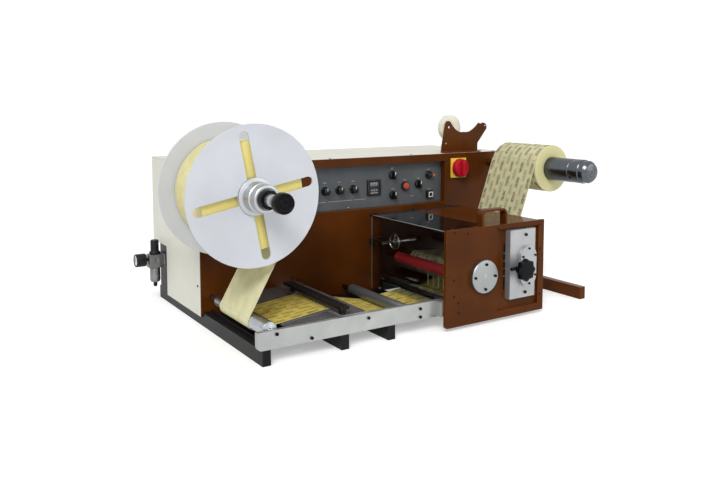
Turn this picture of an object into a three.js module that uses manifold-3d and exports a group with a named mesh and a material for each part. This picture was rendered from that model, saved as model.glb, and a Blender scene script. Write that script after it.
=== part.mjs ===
// Label slitter rewinder: a bench machine that slits a label web and winds it on a flanged reel.
// Millimetres, +Z up. X runs along the machine to the right, Y runs from the operator to the back.
// The layout is drawn from the casing's front left corner at bench level, and the whole machine is
// then shifted so that the middle of its footprint stands on the origin.

import * as THREE from 'three';
import { mergeVertices } from 'three/addons/utils/BufferGeometryUtils.js';
import Module from 'manifold-3d';

const wasm = await Module();
wasm.setup();

// Driving dimensions: casing, skids and bed
const FOOTPRINT_MID_X = 494.5;
const FOOTPRINT_MID_Y = -29;
const CASING = { right: 1127, back: 411, bottom: 26, top: 446, skin: 2.5 };
const NOTCH = { front: 285, top: 178, right: 24 };
const SKID = { height: 38, width: 22, front: -380, back: 373 };
const SKID_LEFT_EDGES = { left_skid: 5, middle_skid: 222, inner_skid: 364, right_skid: 1100 };
const BED = { left: -8, front: -380, railThickness: 12, railTop: 83, right: 532 };
const GAP = 0.3;

// Web: one band of label stock; the unwinding end is wider than the reel's gap, the knives trim it
const WEB = { front: -288, back: -110, thickness: 0.6 };
const UNWIND_BACK = -92;

// Reels
const REEL = {
  x: 30, z: 392, discRadius: 175, paperRadius: 134, frontDisc: -298, backDisc: -105, discThickness: 5,
};
const MANDREL = { x: 1060, z: 408, radius: 36.5, paperRadius: 74, tip: -446 };

// Rollers, each with its axis at x, z
const IDLER = { x: 31, z: 80.6, radius: 20, back: -105, collarRadius: 16, collarBack: -58 };
const TABLE_ROLLER = { x: 461, z: 51, radius: 16.5, back: -50 };
const NIP_ROLLER = { x: 620.3, z: 137, radius: 15.5, journal: 6, back: -70 };
const PULL_ROLLER = { x: 656.5, z: 139.5, radius: 19.5 };
const GUIDE_ROLLER = { x: 868, z: 161, radius: 20 };

// Fixed bars that turn the web, and the edge of the bed's slot
const TURNING_BAR = { x: 668, z: 74, radius: 15 };
const TIE_BAR = { x: 600, z: 58, radius: 9 };
const SLOT_EDGE = { x: 236, z: 79, radius: 3 };
const KNIFE = { x: 813, upperZ: 173.2, lowerZ: 117.5, radius: 27, shaftRadius: 14 };

// Slitting station
const STATION = { left: 527, right: 895, front: -415, thickness: 10, bottom: 10, top: 277, rearFace: -14 };
const WINDOW = { left: 712, right: 873, bottom: 31, top: 263 };
const BLOCK = { left: 750, right: 848, bottom: 61, top: 258, front: -426 };
const BOSS = { x: 813, upperZ: 179.5, lowerZ: 125, radius: 31, front: -436 };
const COVER = { x: 656.5, z: 139.5, radius: 46.5, chamfer: 2, front: -429 };
const LID = { left: 536, glassRight: 698, front: -404, back: -50, bottom: 270, thickness: 3 };
const HINGE = { y: -46, z: 272, radius: 3 };
const GUARD = { left: 533, right: 536, bottom: 86, legFront: -100, legBottom: 44 };

// Control panel, recessed in the front panel
const RECESS = { left: 367, right: 861, bottom: 285, top: 421, depth: 21 };

function material(color, roughness, metalness = 0) {
  return new THREE.MeshStandardMaterial({ color, roughness, metalness });
}

const creamPaint = material('#d9d8cc', 0.45);
const brownPaint = material('#5a2a10', 0.4);
const blackPaint = material('#1c1c1d', 0.55);
const greyPaint = material('#55585a', 0.55);
const machinedAluminium = material('#b9bbbc', 0.35, 0.9);
const polishedSteel = material('#9ea3a8', 0.2, 1);
const chromePlate = material('#c7cbd0', 0.12, 1);
const redRubber = material('#9a2328', 0.6);
const blackPlastic = material('#171718', 0.4);
const redPlastic = material('#b01c22', 0.35);
const yellowPlastic = material('#d9b93a', 0.45);
const whitePlastic = material('#dadde2', 0.4);
const siliconePaper = material('#d6d3a2', 0.7);
const labelPaper = material('#cdbb5e', 0.65);
const smokedAcrylic = material('#2b2d30', 0.05);
const clearAcrylic = material('#cfd6d8', 0.05);
const clearTape = material('#d8d2a6', 0.3);

const machine = new THREE.Group();
machine.position.set(-FOOTPRINT_MID_X, -FOOTPRINT_MID_Y, 0);

function add(name, geometry, finish) {
  const mesh = new THREE.Mesh(geometry, finish);
  mesh.name = name;
  machine.add(mesh);
}

// Solids

function signedVolume(geometry) {
  const position = geometry.getAttribute('position');
  const index = geometry.getIndex();
  const a = new THREE.Vector3();
  const b = new THREE.Vector3();
  const c = new THREE.Vector3();
  let volume = 0;
  for (let i = 0; i < index.count; i += 3) {
    a.fromBufferAttribute(position, index.getX(i));
    b.fromBufferAttribute(position, index.getX(i + 1));
    c.fromBufferAttribute(position, index.getX(i + 2));
    volume += a.dot(b.cross(c)) / 6;
  }
  return volume;
}

// Merges shared vertices and turns the faces outwards
function closed(geometry) {
  const bare = geometry.clone();
  bare.deleteAttribute('normal');
  bare.deleteAttribute('uv');
  const merged = mergeVertices(bare, 1e-4);
  const kept = [];
  const index = merged.getIndex().array;
  for (let i = 0; i < index.length; i += 3) {
    const [a, b, c] = [index[i], index[i + 1], index[i + 2]];
    if (a !== b && b !== c && c !== a) kept.push(a, b, c);
  }
  merged.setIndex(kept);
  if (signedVolume(merged) < 0) {
    for (let i = 0; i < kept.length; i += 3) [kept[i], kept[i + 1]] = [kept[i + 1], kept[i]];
    merged.setIndex(kept);
  }
  return merged;
}

function toManifold(geometry) {
  const solid = closed(geometry);
  const vertProperties = new Float32Array(solid.getAttribute('position').array);
  const triVerts = new Uint32Array(solid.getIndex().array);
  return new wasm.Manifold(new wasm.Mesh({ numProp: 3, vertProperties, triVerts }));
}

function fromManifold(solid) {
  const mesh = solid.getMesh();
  const geometry = new THREE.BufferGeometry();
  geometry.setAttribute('position', new THREE.BufferAttribute(new Float32Array(mesh.vertProperties), 3));
  geometry.setIndex(new THREE.BufferAttribute(new Uint32Array(mesh.triVerts), 1));
  geometry.computeVertexNormals();
  return geometry;
}

function join(...geometries) {
  return fromManifold(geometries.map(toManifold).reduce((whole, piece) => whole.add(piece)));
}

function cut(geometry, ...tools) {
  return fromManifold(tools.map(toManifold).reduce((whole, tool) => whole.subtract(tool), toManifold(geometry)));
}

function box(x0, x1, y0, y1, z0, z1) {
  const geometry = new THREE.BoxGeometry(x1 - x0, y1 - y0, z1 - z0);
  return geometry.translate((x0 + x1) / 2, (y0 + y1) / 2, (z0 + z1) / 2);
}

// A turned piece on an axis along Y: profile points are [radius, y], first and last on the axis
function turned(x, z, profile, sides = 24) {
  const points = profile.map(([radius, y]) => new THREE.Vector2(radius, y));
  return closed(new THREE.LatheGeometry(points, sides).translate(x, 0, z));
}

// A turned ring: the profile closes on itself
function turnedRing(x, z, profile, sides = 24) {
  return turned(x, z, [...profile, profile[0]], sides);
}

function rodY(x, z, radius, y0, y1, sides = 24) {
  return turned(x, z, [[0, y0], [radius, y0], [radius, y1], [0, y1]], sides);
}

function rodX(y, z, radius, x0, x1, sides = 24) {
  const geometry = new THREE.CylinderGeometry(radius, radius, x1 - x0, sides);
  return closed(geometry.rotateZ(Math.PI / 2).translate((x0 + x1) / 2, y, z));
}

function rodZ(x, y, radius, z0, z1, sides = 24) {
  const geometry = new THREE.CylinderGeometry(radius, radius, z1 - z0, sides);
  return closed(geometry.rotateX(Math.PI / 2).translate(x, y, (z0 + z1) / 2));
}

// A flat piece: the outline lies in the XZ plane and the thickness runs from y0 to y1
function plateXZ(shape, y0, y1, curveSegments = 12) {
  const geometry = new THREE.ExtrudeGeometry(shape, { depth: y1 - y0, bevelEnabled: false, curveSegments });
  return closed(geometry.rotateX(Math.PI / 2).translate(0, y1, 0));
}

function outline(points) {
  return new THREE.Shape(points.map(([x, z]) => new THREE.Vector2(x, z)));
}

// Base: four skids under everything

for (const [name, edge] of Object.entries(SKID_LEFT_EDGES)) {
  const finish = name === 'right_skid' ? brownPaint : blackPaint;
  add(name, box(edge, edge + SKID.width, SKID.front, SKID.back, 0, SKID.height), finish);
}

// Casing: floor, sides, folded top and back, and the brown front panel with its recess

const { right, back, bottom, top, skin } = CASING;

// The floor folds up at the left into the upright that carries the air regulator, and down behind
// the front panel into a pan under the bed, in three bays between the skids
const UPRIGHT = { left: 5, right: 8, front: 150, back: 362, top: 200 };
const PAN = { front: -325, legFront: 4, legBack: 7, bottom: 22.5, top: 25.5, right: 595 };

function panBay(x0, x1, floorTop) {
  const sheet = box(x0 + GAP, x1 - GAP, PAN.front, PAN.legBack, PAN.bottom, PAN.top);
  const leg = box(x0 + GAP, x1 - GAP, PAN.legFront, PAN.legBack, PAN.bottom, floorTop);
  return join(sheet, leg);
}

function chassisFloor() {
  const floorTop = SKID.height + 3;
  const sheet = box(30, right - 30, 4, 404, SKID.height + GAP, floorTop);
  const foot = box(UPRIGHT.left, 31, UPRIGHT.front, UPRIGHT.back, SKID.height + GAP, floorTop);
  const upright = box(UPRIGHT.left, UPRIGHT.right, UPRIGHT.front, UPRIGHT.back, floorTop - 1, UPRIGHT.top);
  const { left_skid: first, middle_skid: second, inner_skid: third } = SKID_LEFT_EDGES;
  const bays = [
    panBay(first + SKID.width, second, floorTop),
    panBay(second + SKID.width, third, floorTop),
    panBay(third + SKID.width, PAN.right, floorTop),
  ];
  return join(sheet, foot, upright, ...bays);
}
add('chassis_floor', chassisFloor(), blackPaint);

function sidePanel(x0) {
  return box(x0, x0 + skin, 3.3, back - skin - GAP, bottom, top - skin - GAP);
}

// The casing's lower rear corner is left open at the left end, where the regulator stands
const regulatorNotch = box(-1, NOTCH.right, NOTCH.front, back + 1, bottom - 1, NOTCH.top);
add('left_side_panel', cut(sidePanel(0), regulatorNotch), creamPaint);
add('right_side_panel', sidePanel(right - skin), creamPaint);
add('top_cover', cut(plateFoldedBack(), regulatorNotch), creamPaint);

function plateFoldedBack() {
  const profile = outline([
    [3.3, top], [3.3, top - skin], [back - skin, top - skin],
    [back - skin, bottom], [back, bottom], [back, top],
  ]);
  // The profile lies in YZ here, so the plate made in XZ is turned a quarter about Z
  return plateXZ(profile, -right, 0).rotateZ(Math.PI / 2);
}

const MANDREL_SHAFT = 12;

function frontPanel() {
  const wall = 2;
  const { left, right: r, bottom: b, top: t, depth } = RECESS;
  const sheet = box(0, right, 0, 3, bottom, top);
  const collar = box(left - wall, r + wall, 0.5, depth + 4, b - wall, t + wall);
  const opening = box(left, r, -1, depth + 5, b, t);
  const shaftHoles = [
    rodY(REEL.x, REEL.z, 18, -1, 4),
    rodY(MANDREL.x, MANDREL.z, MANDREL_SHAFT + 1, -1, 4),
  ];
  const skidNotches = Object.values(SKID_LEFT_EDGES).map((edge) => (
    box(edge - GAP, edge + SKID.width + GAP, -1, 4, bottom - 1, SKID.height + GAP)));
  return cut(join(sheet, collar), opening, ...shaftHoles, ...skidNotches);
}
add('front_panel', frontPanel(), brownPaint);

// Control plate with a raised collar round each button, and the controls in front of it

const CONTROL_BACK = RECESS.depth - GAP;
const STOP = { x: 710, z: 345 };
const START = { x: 810, z: 311, half: 9 };
const BUTTON_BACK = CONTROL_BACK - 4;
const STEM_RADIUS = 4;
const STEM_BACK = RECESS.depth + 6;
const COLLAR_FRONT = RECESS.depth - 7;

function controlPlate() {
  const { left, right: r, bottom: b, top: t, depth } = RECESS;
  const sheet = box(left + GAP, r - GAP, depth, depth + 3, b + GAP, t - GAP);
  const stopCollar = turnedRing(STOP.x, STOP.z, [[11.5, COLLAR_FRONT], [15, COLLAR_FRONT], [15, depth + 1],
    [11.5, depth + 1]], 24);
  const startCollar = cut(
    box(START.x - 13, START.x + 13, COLLAR_FRONT, depth + 1, START.z - 13, START.z + 13),
    box(START.x - 9.5, START.x + 9.5, COLLAR_FRONT - 1, depth, START.z - 9.5, START.z + 9.5),
  );
  const stemHoles = [STOP, START].map(({ x, z }) => rodY(x, z, STEM_RADIUS + GAP, COLLAR_FRONT - 1, depth + 5, 12));
  return cut(join(sheet, stopCollar, startCollar), ...stemHoles);
}
add('control_plate', controlPlate(), greyPaint);

function dialKnob(x, z, radius, depth) {
  const body = turned(x, z, [[0, CONTROL_BACK], [radius, CONTROL_BACK], [radius, CONTROL_BACK - 3],
    [radius * 0.8, CONTROL_BACK - depth], [0, CONTROL_BACK - depth]], 20);
  const pointer = box(x - 1, x + 1, CONTROL_BACK - depth - 0.8, CONTROL_BACK - depth + 2, z, z + radius * 0.75);
  return join(body, pointer);
}

const DIALS = { speed_dial: 408, rewind_tension_dial: 459, unwind_tension_dial: 510 };
const DIAL_Z = 347;
for (const [name, x] of Object.entries(DIALS)) {
  add(name, dialKnob(x, DIAL_Z, 12, 15), blackPlastic);
}

function selectorKnob(x, z) {
  const disc = rodY(x, z, 12, CONTROL_BACK - 6, CONTROL_BACK, 20);
  const lever = box(x - 3, x + 3, CONTROL_BACK - 16, CONTROL_BACK - 5, z - 11, z + 11);
  return join(disc, lever);
}

const SELECTORS = {
  power_selector: [660, 383],
  direction_selector: [662, 318],
  mode_selector: [764, 348],
  counter_selector: [808, 376],
};
for (const [name, [x, z]] of Object.entries(SELECTORS)) {
  add(name, selectorKnob(x, z), blackPlastic);
}

add('counter_display', box(562, 612, CONTROL_BACK - 5, CONTROL_BACK, 322, 373), blackPlastic);
add('stop_button', join(
  turned(STOP.x, STOP.z, [[0, BUTTON_BACK], [11, BUTTON_BACK], [11, BUTTON_BACK - 7],
    [7, BUTTON_BACK - 9], [0, BUTTON_BACK - 9]], 20),
  rodY(STOP.x, STOP.z, STEM_RADIUS, BUTTON_BACK - 1, STEM_BACK, 12),
), redPlastic);
add('start_button', join(
  box(START.x - START.half, START.x + START.half, BUTTON_BACK - 7, BUTTON_BACK,
    START.z - START.half, START.z + START.half),
  rodY(START.x, START.z, STEM_RADIUS, BUTTON_BACK - 1, STEM_BACK, 12),
), blackPlastic);

const SWITCH = { x: 919, z: 396, half: 35 };
const switchFront = -GAP - 5;
add('main_switch_plate', box(SWITCH.x - SWITCH.half, SWITCH.x + SWITCH.half, switchFront, -GAP,
  SWITCH.z - SWITCH.half, SWITCH.z + SWITCH.half), yellowPlastic);

function switchKnob() {
  const disc = rodY(SWITCH.x, SWITCH.z, 28, switchFront - 12, switchFront - GAP, 32);
  const grip = box(SWITCH.x - 7, SWITCH.x + 7, switchFront - 26, switchFront - 11, SWITCH.z - 26, SWITCH.z + 26);
  return join(disc, grip);
}
add('main_switch_knob', switchKnob(), redPlastic);

// Tape holder on top: a notched bracket with a spindle for a roll of splicing tape

const TAPE = { x: 914, z: 530, radius: 43, y0: 34.5, y1: 52 };

function tapeBracket() {
  const shape = new THREE.Shape();
  shape.moveTo(868, top + GAP);
  shape.lineTo(870, 470);
  shape.lineTo(886, 545);
  shape.absarc(898, 541, 12.6, Math.PI * 0.9, Math.PI * 0.25, true);
  shape.quadraticCurveTo(930, 517, 952, 515);
  shape.lineTo(986, 515);
  shape.quadraticCurveTo(1010, 520, 1034, 546);
  shape.absarc(1055, 530, 16, Math.PI * 0.75, -Math.PI * 0.12, true);
  shape.lineTo(1030, 476);
  shape.lineTo(1029, top + GAP);
  const plate = plateXZ(shape, 28, 32, 8);
  const foot = box(868, 1029, 10, 30, top + GAP, top + 4);
  const spindle = rodY(TAPE.x, TAPE.z, 6, 30, TAPE.y1 + 4, 16);
  return join(plate, foot, spindle);
}
add('tape_bracket', tapeBracket(), brownPaint);
add('tape_roll', turnedRing(TAPE.x, TAPE.z, [[6.4, TAPE.y0], [TAPE.radius, TAPE.y0],
  [TAPE.radius, TAPE.y1], [6.4, TAPE.y1]], 28), clearTape);

// Rewind reel: shaft, two slotted discs, the wound labels, the hub and its clamp knob

const SHAFT_RADIUS = 12;
const SLOT = { inner: 45, endCentre: 147.5, half: 12.5, turn: 0.19 };

// The back disc is plain, the front one has four slots to reach the roll through
function reelDisc(y0, quarters) {
  const y1 = y0 + REEL.discThickness;
  const disc = rodY(REEL.x, REEL.z, REEL.discRadius, y0, y1, 60);
  const bore = rodY(REEL.x, REEL.z, SHAFT_RADIUS + GAP, y0 - 1, y1 + 1, 24);
  const slots = quarters.map((quarter) => {
    const slot = join(
      box(SLOT.inner, SLOT.endCentre, y0 - 1, y1 + 1, -SLOT.half, SLOT.half),
      rodY(SLOT.endCentre, 0, SLOT.half, y0 - 1, y1 + 1, 16),
    );
    const turn = (quarter * Math.PI) / 2 - SLOT.turn;
    return slot.rotateY(turn).translate(REEL.x, 0, REEL.z);
  });
  return cut(disc, bore, ...slots);
}

add('rewind_shaft', turned(REEL.x, REEL.z, [
  [0, -372], [SHAFT_RADIUS, -372], [SHAFT_RADIUS, -60], [15, -60], [15, 108], [0, 108],
], 20), polishedSteel);
add('back_disc', reelDisc(REEL.backDisc, []), whitePlastic);
add('front_disc', reelDisc(REEL.frontDisc, [0, 1, 2, 3]), whitePlastic);
add('rewind_roll', turnedRing(REEL.x, REEL.z, [[SHAFT_RADIUS + GAP, WEB.front], [REEL.paperRadius, WEB.front],
  [REEL.paperRadius, WEB.back], [SHAFT_RADIUS + GAP, WEB.back]], 48), labelPaper);

const hubBack = REEL.frontDisc - GAP;
add('reel_hub', turnedRing(REEL.x, REEL.z, [
  [SHAFT_RADIUS + GAP, hubBack], [46, hubBack], [46, hubBack - 6], [37, hubBack - 8], [37, hubBack - 40],
  [34, hubBack - 42], [34, hubBack - 66], [31, hubBack - 68], [26, hubBack - 68], [26, hubBack - 64],
  [SHAFT_RADIUS + GAP, hubBack - 64],
], 28), machinedAluminium);
add('clamp_knob', turned(REEL.x, REEL.z, [
  [0, -372.4], [22.5, -372.4], [22.5, -378], [15, -379], [15, -428], [23, -430], [24.7, -434],
  [24.7, -452], [23, -456], [0, -457],
], 24), blackPlastic);

// Parallel-shaft gear motor behind the panel: bearing tube, gear case and the motor's own drum
function rewindMotor() {
  const tube = turned(REEL.x, REEL.z, [[0, 3.4], [26, 3.4], [26, 12], [23, 14], [23, 62], [0, 62]], 24);
  const gearCase = box(5, 168, 60, 112, 335, 432);
  const drum = rodY(115, 383, 46, 111, 262, 28);
  const bore = rodY(REEL.x, REEL.z, 15.4, 3, 113, 24);
  return cut(join(tube, gearCase, drum), bore);
}
add('rewind_motor', rewindMotor(), blackPaint);

// Unwind mandrel with its printed roll and brake

add('unwind_mandrel', turned(MANDREL.x, MANDREL.z, [
  [0, MANDREL.tip], [27, MANDREL.tip], [34, -436], [34, -420], [MANDREL.radius, -418],
  [MANDREL.radius, -386], [35.5, -385], [35.5, -381], [MANDREL.radius, -380],
  [MANDREL.radius, UNWIND_BACK + 1], [52, UNWIND_BACK + 1], [52, UNWIND_BACK + 10],
  [MANDREL_SHAFT, UNWIND_BACK + 12], [MANDREL_SHAFT, 138], [0, 138],
], 24), chromePlate);
add('unwind_roll', turnedRing(MANDREL.x, MANDREL.z, [[MANDREL.radius + GAP, WEB.front],
  [MANDREL.paperRadius, WEB.front], [MANDREL.paperRadius, UNWIND_BACK], [MANDREL.radius + GAP, UNWIND_BACK]], 40),
siliconePaper);
add('unwind_brake', turnedRing(MANDREL.x, MANDREL.z, [[MANDREL_SHAFT + 0.4, 3.4], [34, 3.4], [34, 12], [26, 14],
  [26, 90], [34.5, 90], [34.5, 140], [MANDREL_SHAFT + 0.4, 140]], 24), blackPaint);

// Bed: rail, end plate, table plate with a slanting slot, and the guide bar above it

const railBack = BED.front + BED.railThickness;
const RAIL_JOURNAL = 6;

function frontRail() {
  const corner = 14;
  const foot = SKID.height + GAP;
  const shape = new THREE.Shape();
  shape.moveTo(BED.left + corner, foot);
  shape.lineTo(BED.right, foot);
  shape.lineTo(BED.right, BED.railTop);
  shape.lineTo(BED.left, BED.railTop);
  shape.lineTo(BED.left, foot + corner);
  shape.quadraticCurveTo(BED.left, foot, BED.left + corner, foot);
  const rail = plateXZ(shape, BED.front, railBack, 6);
  const endBlock = box(BED.right - 14, BED.right + 18, -404.7, railBack, SKID.height + GAP + 4, BED.railTop);
  const axleHoles = [
    rodY(IDLER.x, IDLER.z, RAIL_JOURNAL + GAP, BED.front + 4, railBack + 1, 16),
    rodY(TABLE_ROLLER.x, TABLE_ROLLER.z, RAIL_JOURNAL + GAP, BED.front + 4, railBack + 1, 16),
  ];
  return cut(join(rail, endBlock), ...axleHoles);
}
add('front_rail', frontRail(), machinedAluminium);
add('bed_end_plate', box(29, 34, railBack + GAP, -GAP, SKID.height + GAP, 43), blackPaint);

const TABLE = { slotX: 232, right: 305, top: 84, front: railBack + GAP, back: -GAP };
const CHEEK = { right: 262, bottom: 74 };

// A ramp up to the slot, the plate behind it with its edge cut back under the web, and two cheeks
function tablePlate() {
  const leadIn = outline([
    [98, 62], [98, 65.5], [230, 79.6], [236, 82.1], [239, 80.5], [239, 75.5], [232, 75.5],
  ]);
  const centre = outline([
    [244, 82.2], [244, TABLE.top], [TABLE.right, TABLE.top], [TABLE.right, 80.4], [252, 80.4],
  ]);
  const cheek = (y0, y1) => box(TABLE.slotX, CHEEK.right, y0, y1, CHEEK.bottom, TABLE.top);
  return join(
    plateXZ(leadIn, TABLE.front, TABLE.back),
    cheek(TABLE.front, WEB.front - 6),
    cheek(WEB.back + 6, TABLE.back),
    plateXZ(centre, TABLE.front, TABLE.back),
  );
}
add('table_plate', tablePlate(), polishedSteel);

function guideBar() {
  const bar = box(228, 254, -366, -50, 97, 105);
  const posts = [-352, -84].map((y) => rodZ(241, y, 9, TABLE.top + GAP, 98, 20));
  return join(bar, ...posts);
}
add('guide_bar', guideBar(), blackPaint);

// Rollers between the rail or the station's plates

const AXLE_BACK = -1;
const AXLE_FRONT = BED.front + 5;
const BODY_FRONT = railBack + 3;
add('idler_roller', turned(IDLER.x, IDLER.z, [
  [0, AXLE_FRONT], [RAIL_JOURNAL, AXLE_FRONT], [RAIL_JOURNAL, BODY_FRONT - 1], [IDLER.radius, BODY_FRONT],
  [IDLER.radius, IDLER.back], [IDLER.collarRadius, IDLER.back], [IDLER.collarRadius, IDLER.collarBack],
  [8, IDLER.collarBack], [8, AXLE_BACK], [0, AXLE_BACK],
], 28), machinedAluminium);
add('table_roller', turned(TABLE_ROLLER.x, TABLE_ROLLER.z, [
  [0, AXLE_FRONT], [RAIL_JOURNAL, AXLE_FRONT], [RAIL_JOURNAL, BODY_FRONT - 1], [TABLE_ROLLER.radius, BODY_FRONT],
  [TABLE_ROLLER.radius, TABLE_ROLLER.back], [RAIL_JOURNAL, TABLE_ROLLER.back + 1],
  [RAIL_JOURNAL, AXLE_BACK], [0, AXLE_BACK],
], 24), polishedSteel);

const ROLLER_FRONT = STATION.front + STATION.thickness + 6;
const ROLLER_BACK = STATION.rearFace - 6;
const JOURNAL_FRONT = STATION.front + 2;
const JOURNAL_BACK = -4;

const JOURNAL = 8;

function stationRoller({ x, z, radius, journal = JOURNAL, back: rollerBack = ROLLER_BACK }, sides = 24) {
  return turned(x, z, [
    [0, JOURNAL_FRONT], [journal, JOURNAL_FRONT], [journal, ROLLER_FRONT], [radius, ROLLER_FRONT],
    [radius, rollerBack], [journal, rollerBack], [journal, JOURNAL_BACK], [0, JOURNAL_BACK],
  ], sides);
}

add('nip_roller', stationRoller(NIP_ROLLER, 28), redRubber);
add('pull_roller', stationRoller(PULL_ROLLER, 28), polishedSteel);
add('guide_roller', stationRoller(GUIDE_ROLLER), machinedAluminium);

// The shear slitting shafts: discs on a shaft, the upper ones between the lower ones' edges
const KNIFE_PITCH = 55;
const KNIFE_COUNT = 4;

function knifeShaft(z, discWidth, firstY) {
  const profile = [[0, JOURNAL_FRONT], [JOURNAL, JOURNAL_FRONT], [JOURNAL, ROLLER_FRONT],
    [KNIFE.shaftRadius, ROLLER_FRONT]];
  for (let i = 0; i < KNIFE_COUNT; i += 1) {
    const y = firstY + i * KNIFE_PITCH;
    profile.push([KNIFE.shaftRadius, y], [KNIFE.radius, y], [KNIFE.radius, y + discWidth],
      [KNIFE.shaftRadius, y + discWidth]);
  }
  profile.push([KNIFE.shaftRadius, ROLLER_BACK], [JOURNAL, ROLLER_BACK], [JOURNAL, JOURNAL_BACK],
    [0, JOURNAL_BACK]);
  return turned(KNIFE.x, z, profile, 20);
}
add('upper_knife_shaft', knifeShaft(KNIFE.upperZ, 4, -290), polishedSteel);
add('lower_knife_shaft', knifeShaft(KNIFE.lowerZ, 26, -313), polishedSteel);

// Slitting station: front plate with its window, rear plate, bearing block, covers and knobs

function journalHoles(y0, y1, places) {
  return places.map(({ x, z, journal = JOURNAL }) => rodY(x, z, journal + 0.5, y0, y1, 16));
}
const upperKnife = { x: KNIFE.x, z: KNIFE.upperZ };
const lowerKnife = { x: KNIFE.x, z: KNIFE.lowerZ };
const stationAxes = [NIP_ROLLER, PULL_ROLLER, GUIDE_ROLLER, upperKnife, lowerKnife];

function stationFrontPlate() {
  const { left, right: r, front, bottom: b, top: t, thickness } = STATION;
  const corner = 8;
  const shape = new THREE.Shape();
  shape.moveTo(left + corner, b);
  shape.lineTo(r, b);
  shape.lineTo(r, t);
  shape.lineTo(left, t);
  shape.lineTo(left, b + corner);
  shape.quadraticCurveTo(left, b, left + corner, b);
  const plate = plateXZ(shape, front, front + thickness, 6);
  const window = box(WINDOW.left, WINDOW.right, front - 1, front + thickness + 1, WINDOW.bottom, WINDOW.top);
  const backing = box(WINDOW.left - 10, r - 8, front + thickness - 1, front + thickness + 5,
    WINDOW.bottom - 10, WINDOW.top + 6);
  return cut(join(cut(plate, window), backing), ...journalHoles(front - 1, front + thickness + 6, stationAxes));
}
add('station_front_plate', stationFrontPlate(), brownPaint);

const SPINDLE = { y: -48, z: 181, radius: 4, left: 560, right: 726 };
const EAR = { front: -62, bottom: 170, top: 192, width: 10 };

// The rear plate carries the two fixed bars, the hinge rod and the two ears of the adjuster's spindle
function stationRearPlate() {
  const plateBack = -2 - GAP;
  const barFront = STATION.front + STATION.thickness + GAP;
  const plate = box(600, 890, STATION.rearFace, plateBack, 20, 266);
  const bracket = box(556, 601, STATION.rearFace - 2, plateBack, EAR.bottom, EAR.top);
  const ears = [556, 714].map((x) => (
    box(x, x + EAR.width, EAR.front, STATION.rearFace + 1, EAR.bottom, EAR.top)));
  const bars = [TIE_BAR, TURNING_BAR].map(({ x, z, radius }) => (
    rodY(x, z, radius, barFront, STATION.rearFace + 6, 24)));
  const tieFoot = box(596, 612, STATION.rearFace, plateBack - 1, 45, 70);
  const hinge = rodX(HINGE.y, HINGE.z, HINGE.radius, 560, 885, 12);
  const hingeFeet = [564, 716, 871].map((x) => (
    box(x, x + 8, HINGE.y - 1, STATION.rearFace + 3, HINGE.z - 10, HINGE.z)));
  const hingeShelf = box(560, 601, STATION.rearFace, plateBack, HINGE.z - 12, HINGE.z - 4);
  const body = join(plate, bracket, ...ears, tieFoot, ...bars, hingeShelf, ...hingeFeet, hinge);
  const spindleHole = rodX(SPINDLE.y, SPINDLE.z, SPINDLE.radius + GAP, 555, 730, 16);
  return cut(body, spindleHole, ...journalHoles(-20, 0, stationAxes));
}
add('station_rear_plate', stationRearPlate(), blackPaint);

// The block rides in the window; its obround boss carries the two knife shafts' front bearings
function bearingBlock() {
  const blockBack = STATION.front + STATION.thickness - 1 - GAP;
  const block = box(BLOCK.left, BLOCK.right, BLOCK.front, blockBack, BLOCK.bottom, BLOCK.top);
  const shape = new THREE.Shape();
  shape.absarc(BOSS.x, BOSS.upperZ, BOSS.radius, 0, Math.PI, false);
  shape.absarc(BOSS.x, BOSS.lowerZ, BOSS.radius, Math.PI, Math.PI * 2, false);
  const boss = plateXZ(shape, BOSS.front, BLOCK.front + 1, 12);
  const pockets = journalHoles(STATION.front, blockBack + 1, [upperKnife, lowerKnife]);
  return cut(join(block, boss), ...pockets);
}
add('bearing_block', bearingBlock(), machinedAluminium);

// A star knob with eight lobes and a short locking lever, its neck beside the boss
const ENGAGE = { x: 776, z: 150, radius: 28, back: BLOCK.front - GAP, gripBack: -453, front: -469, neck: 5 };

function starKnob() {
  const { x, z, radius, back: knobBack, gripBack, front, neck: neckRadius } = ENGAGE;
  const shape = new THREE.Shape();
  const steps = 48;
  for (let i = 0; i < steps; i += 1) {
    const angle = (i / steps) * Math.PI * 2;
    const reach = radius + 2.2 * Math.cos(angle * 8);
    const point = [x + reach * Math.cos(angle), z + reach * Math.sin(angle)];
    if (i === 0) shape.moveTo(...point);
    else shape.lineTo(...point);
  }
  const grip = plateXZ(shape, front, gripBack);
  const neck = rodY(x, z, neckRadius, front + 10, knobBack, 20);
  const lever = rodX(gripBack + 4, z + 5, 5, x - 45, x, 12);
  return join(grip, neck, lever);
}
add('engagement_knob', starKnob(), blackPlastic);
add('bearing_cover', turned(COVER.x, COVER.z, [
  [0, STATION.front - GAP], [COVER.radius, STATION.front - GAP], [COVER.radius, COVER.front + COVER.chamfer],
  [COVER.radius - COVER.chamfer, COVER.front], [0, COVER.front],
], 40), machinedAluminium);

// Guard: hinged lid with a smoked window and a strap handle, and a clear side

// The tongue carries the handle's left leg; the window is notched round it
const TONGUE = { left: 650, depth: 27 };

function lidFrame() {
  const { glassRight, front, back: lidBack, bottom: b, thickness } = LID;
  const sheetTop = b + thickness;
  const rightSheet = box(glassRight, STATION.right, front, lidBack, b, sheetTop);
  const tongue = box(TONGUE.left, glassRight + 1, front, front + TONGUE.depth, b, sheetTop);
  const handle = strapHandle(664, 759, front + 1, front + 25, sheetTop - 1, 48, 6);
  return join(rightSheet, tongue, handle);
}

function lidWindow() {
  const { left, glassRight, front, back: lidBack, bottom: b, thickness } = LID;
  const sheet = box(left, glassRight - GAP, front, lidBack, b, b + thickness);
  const notch = box(TONGUE.left - GAP, glassRight, front - 1, front + TONGUE.depth + GAP, b - 1, b + thickness + 1);
  return cut(sheet, notch);
}

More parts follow.
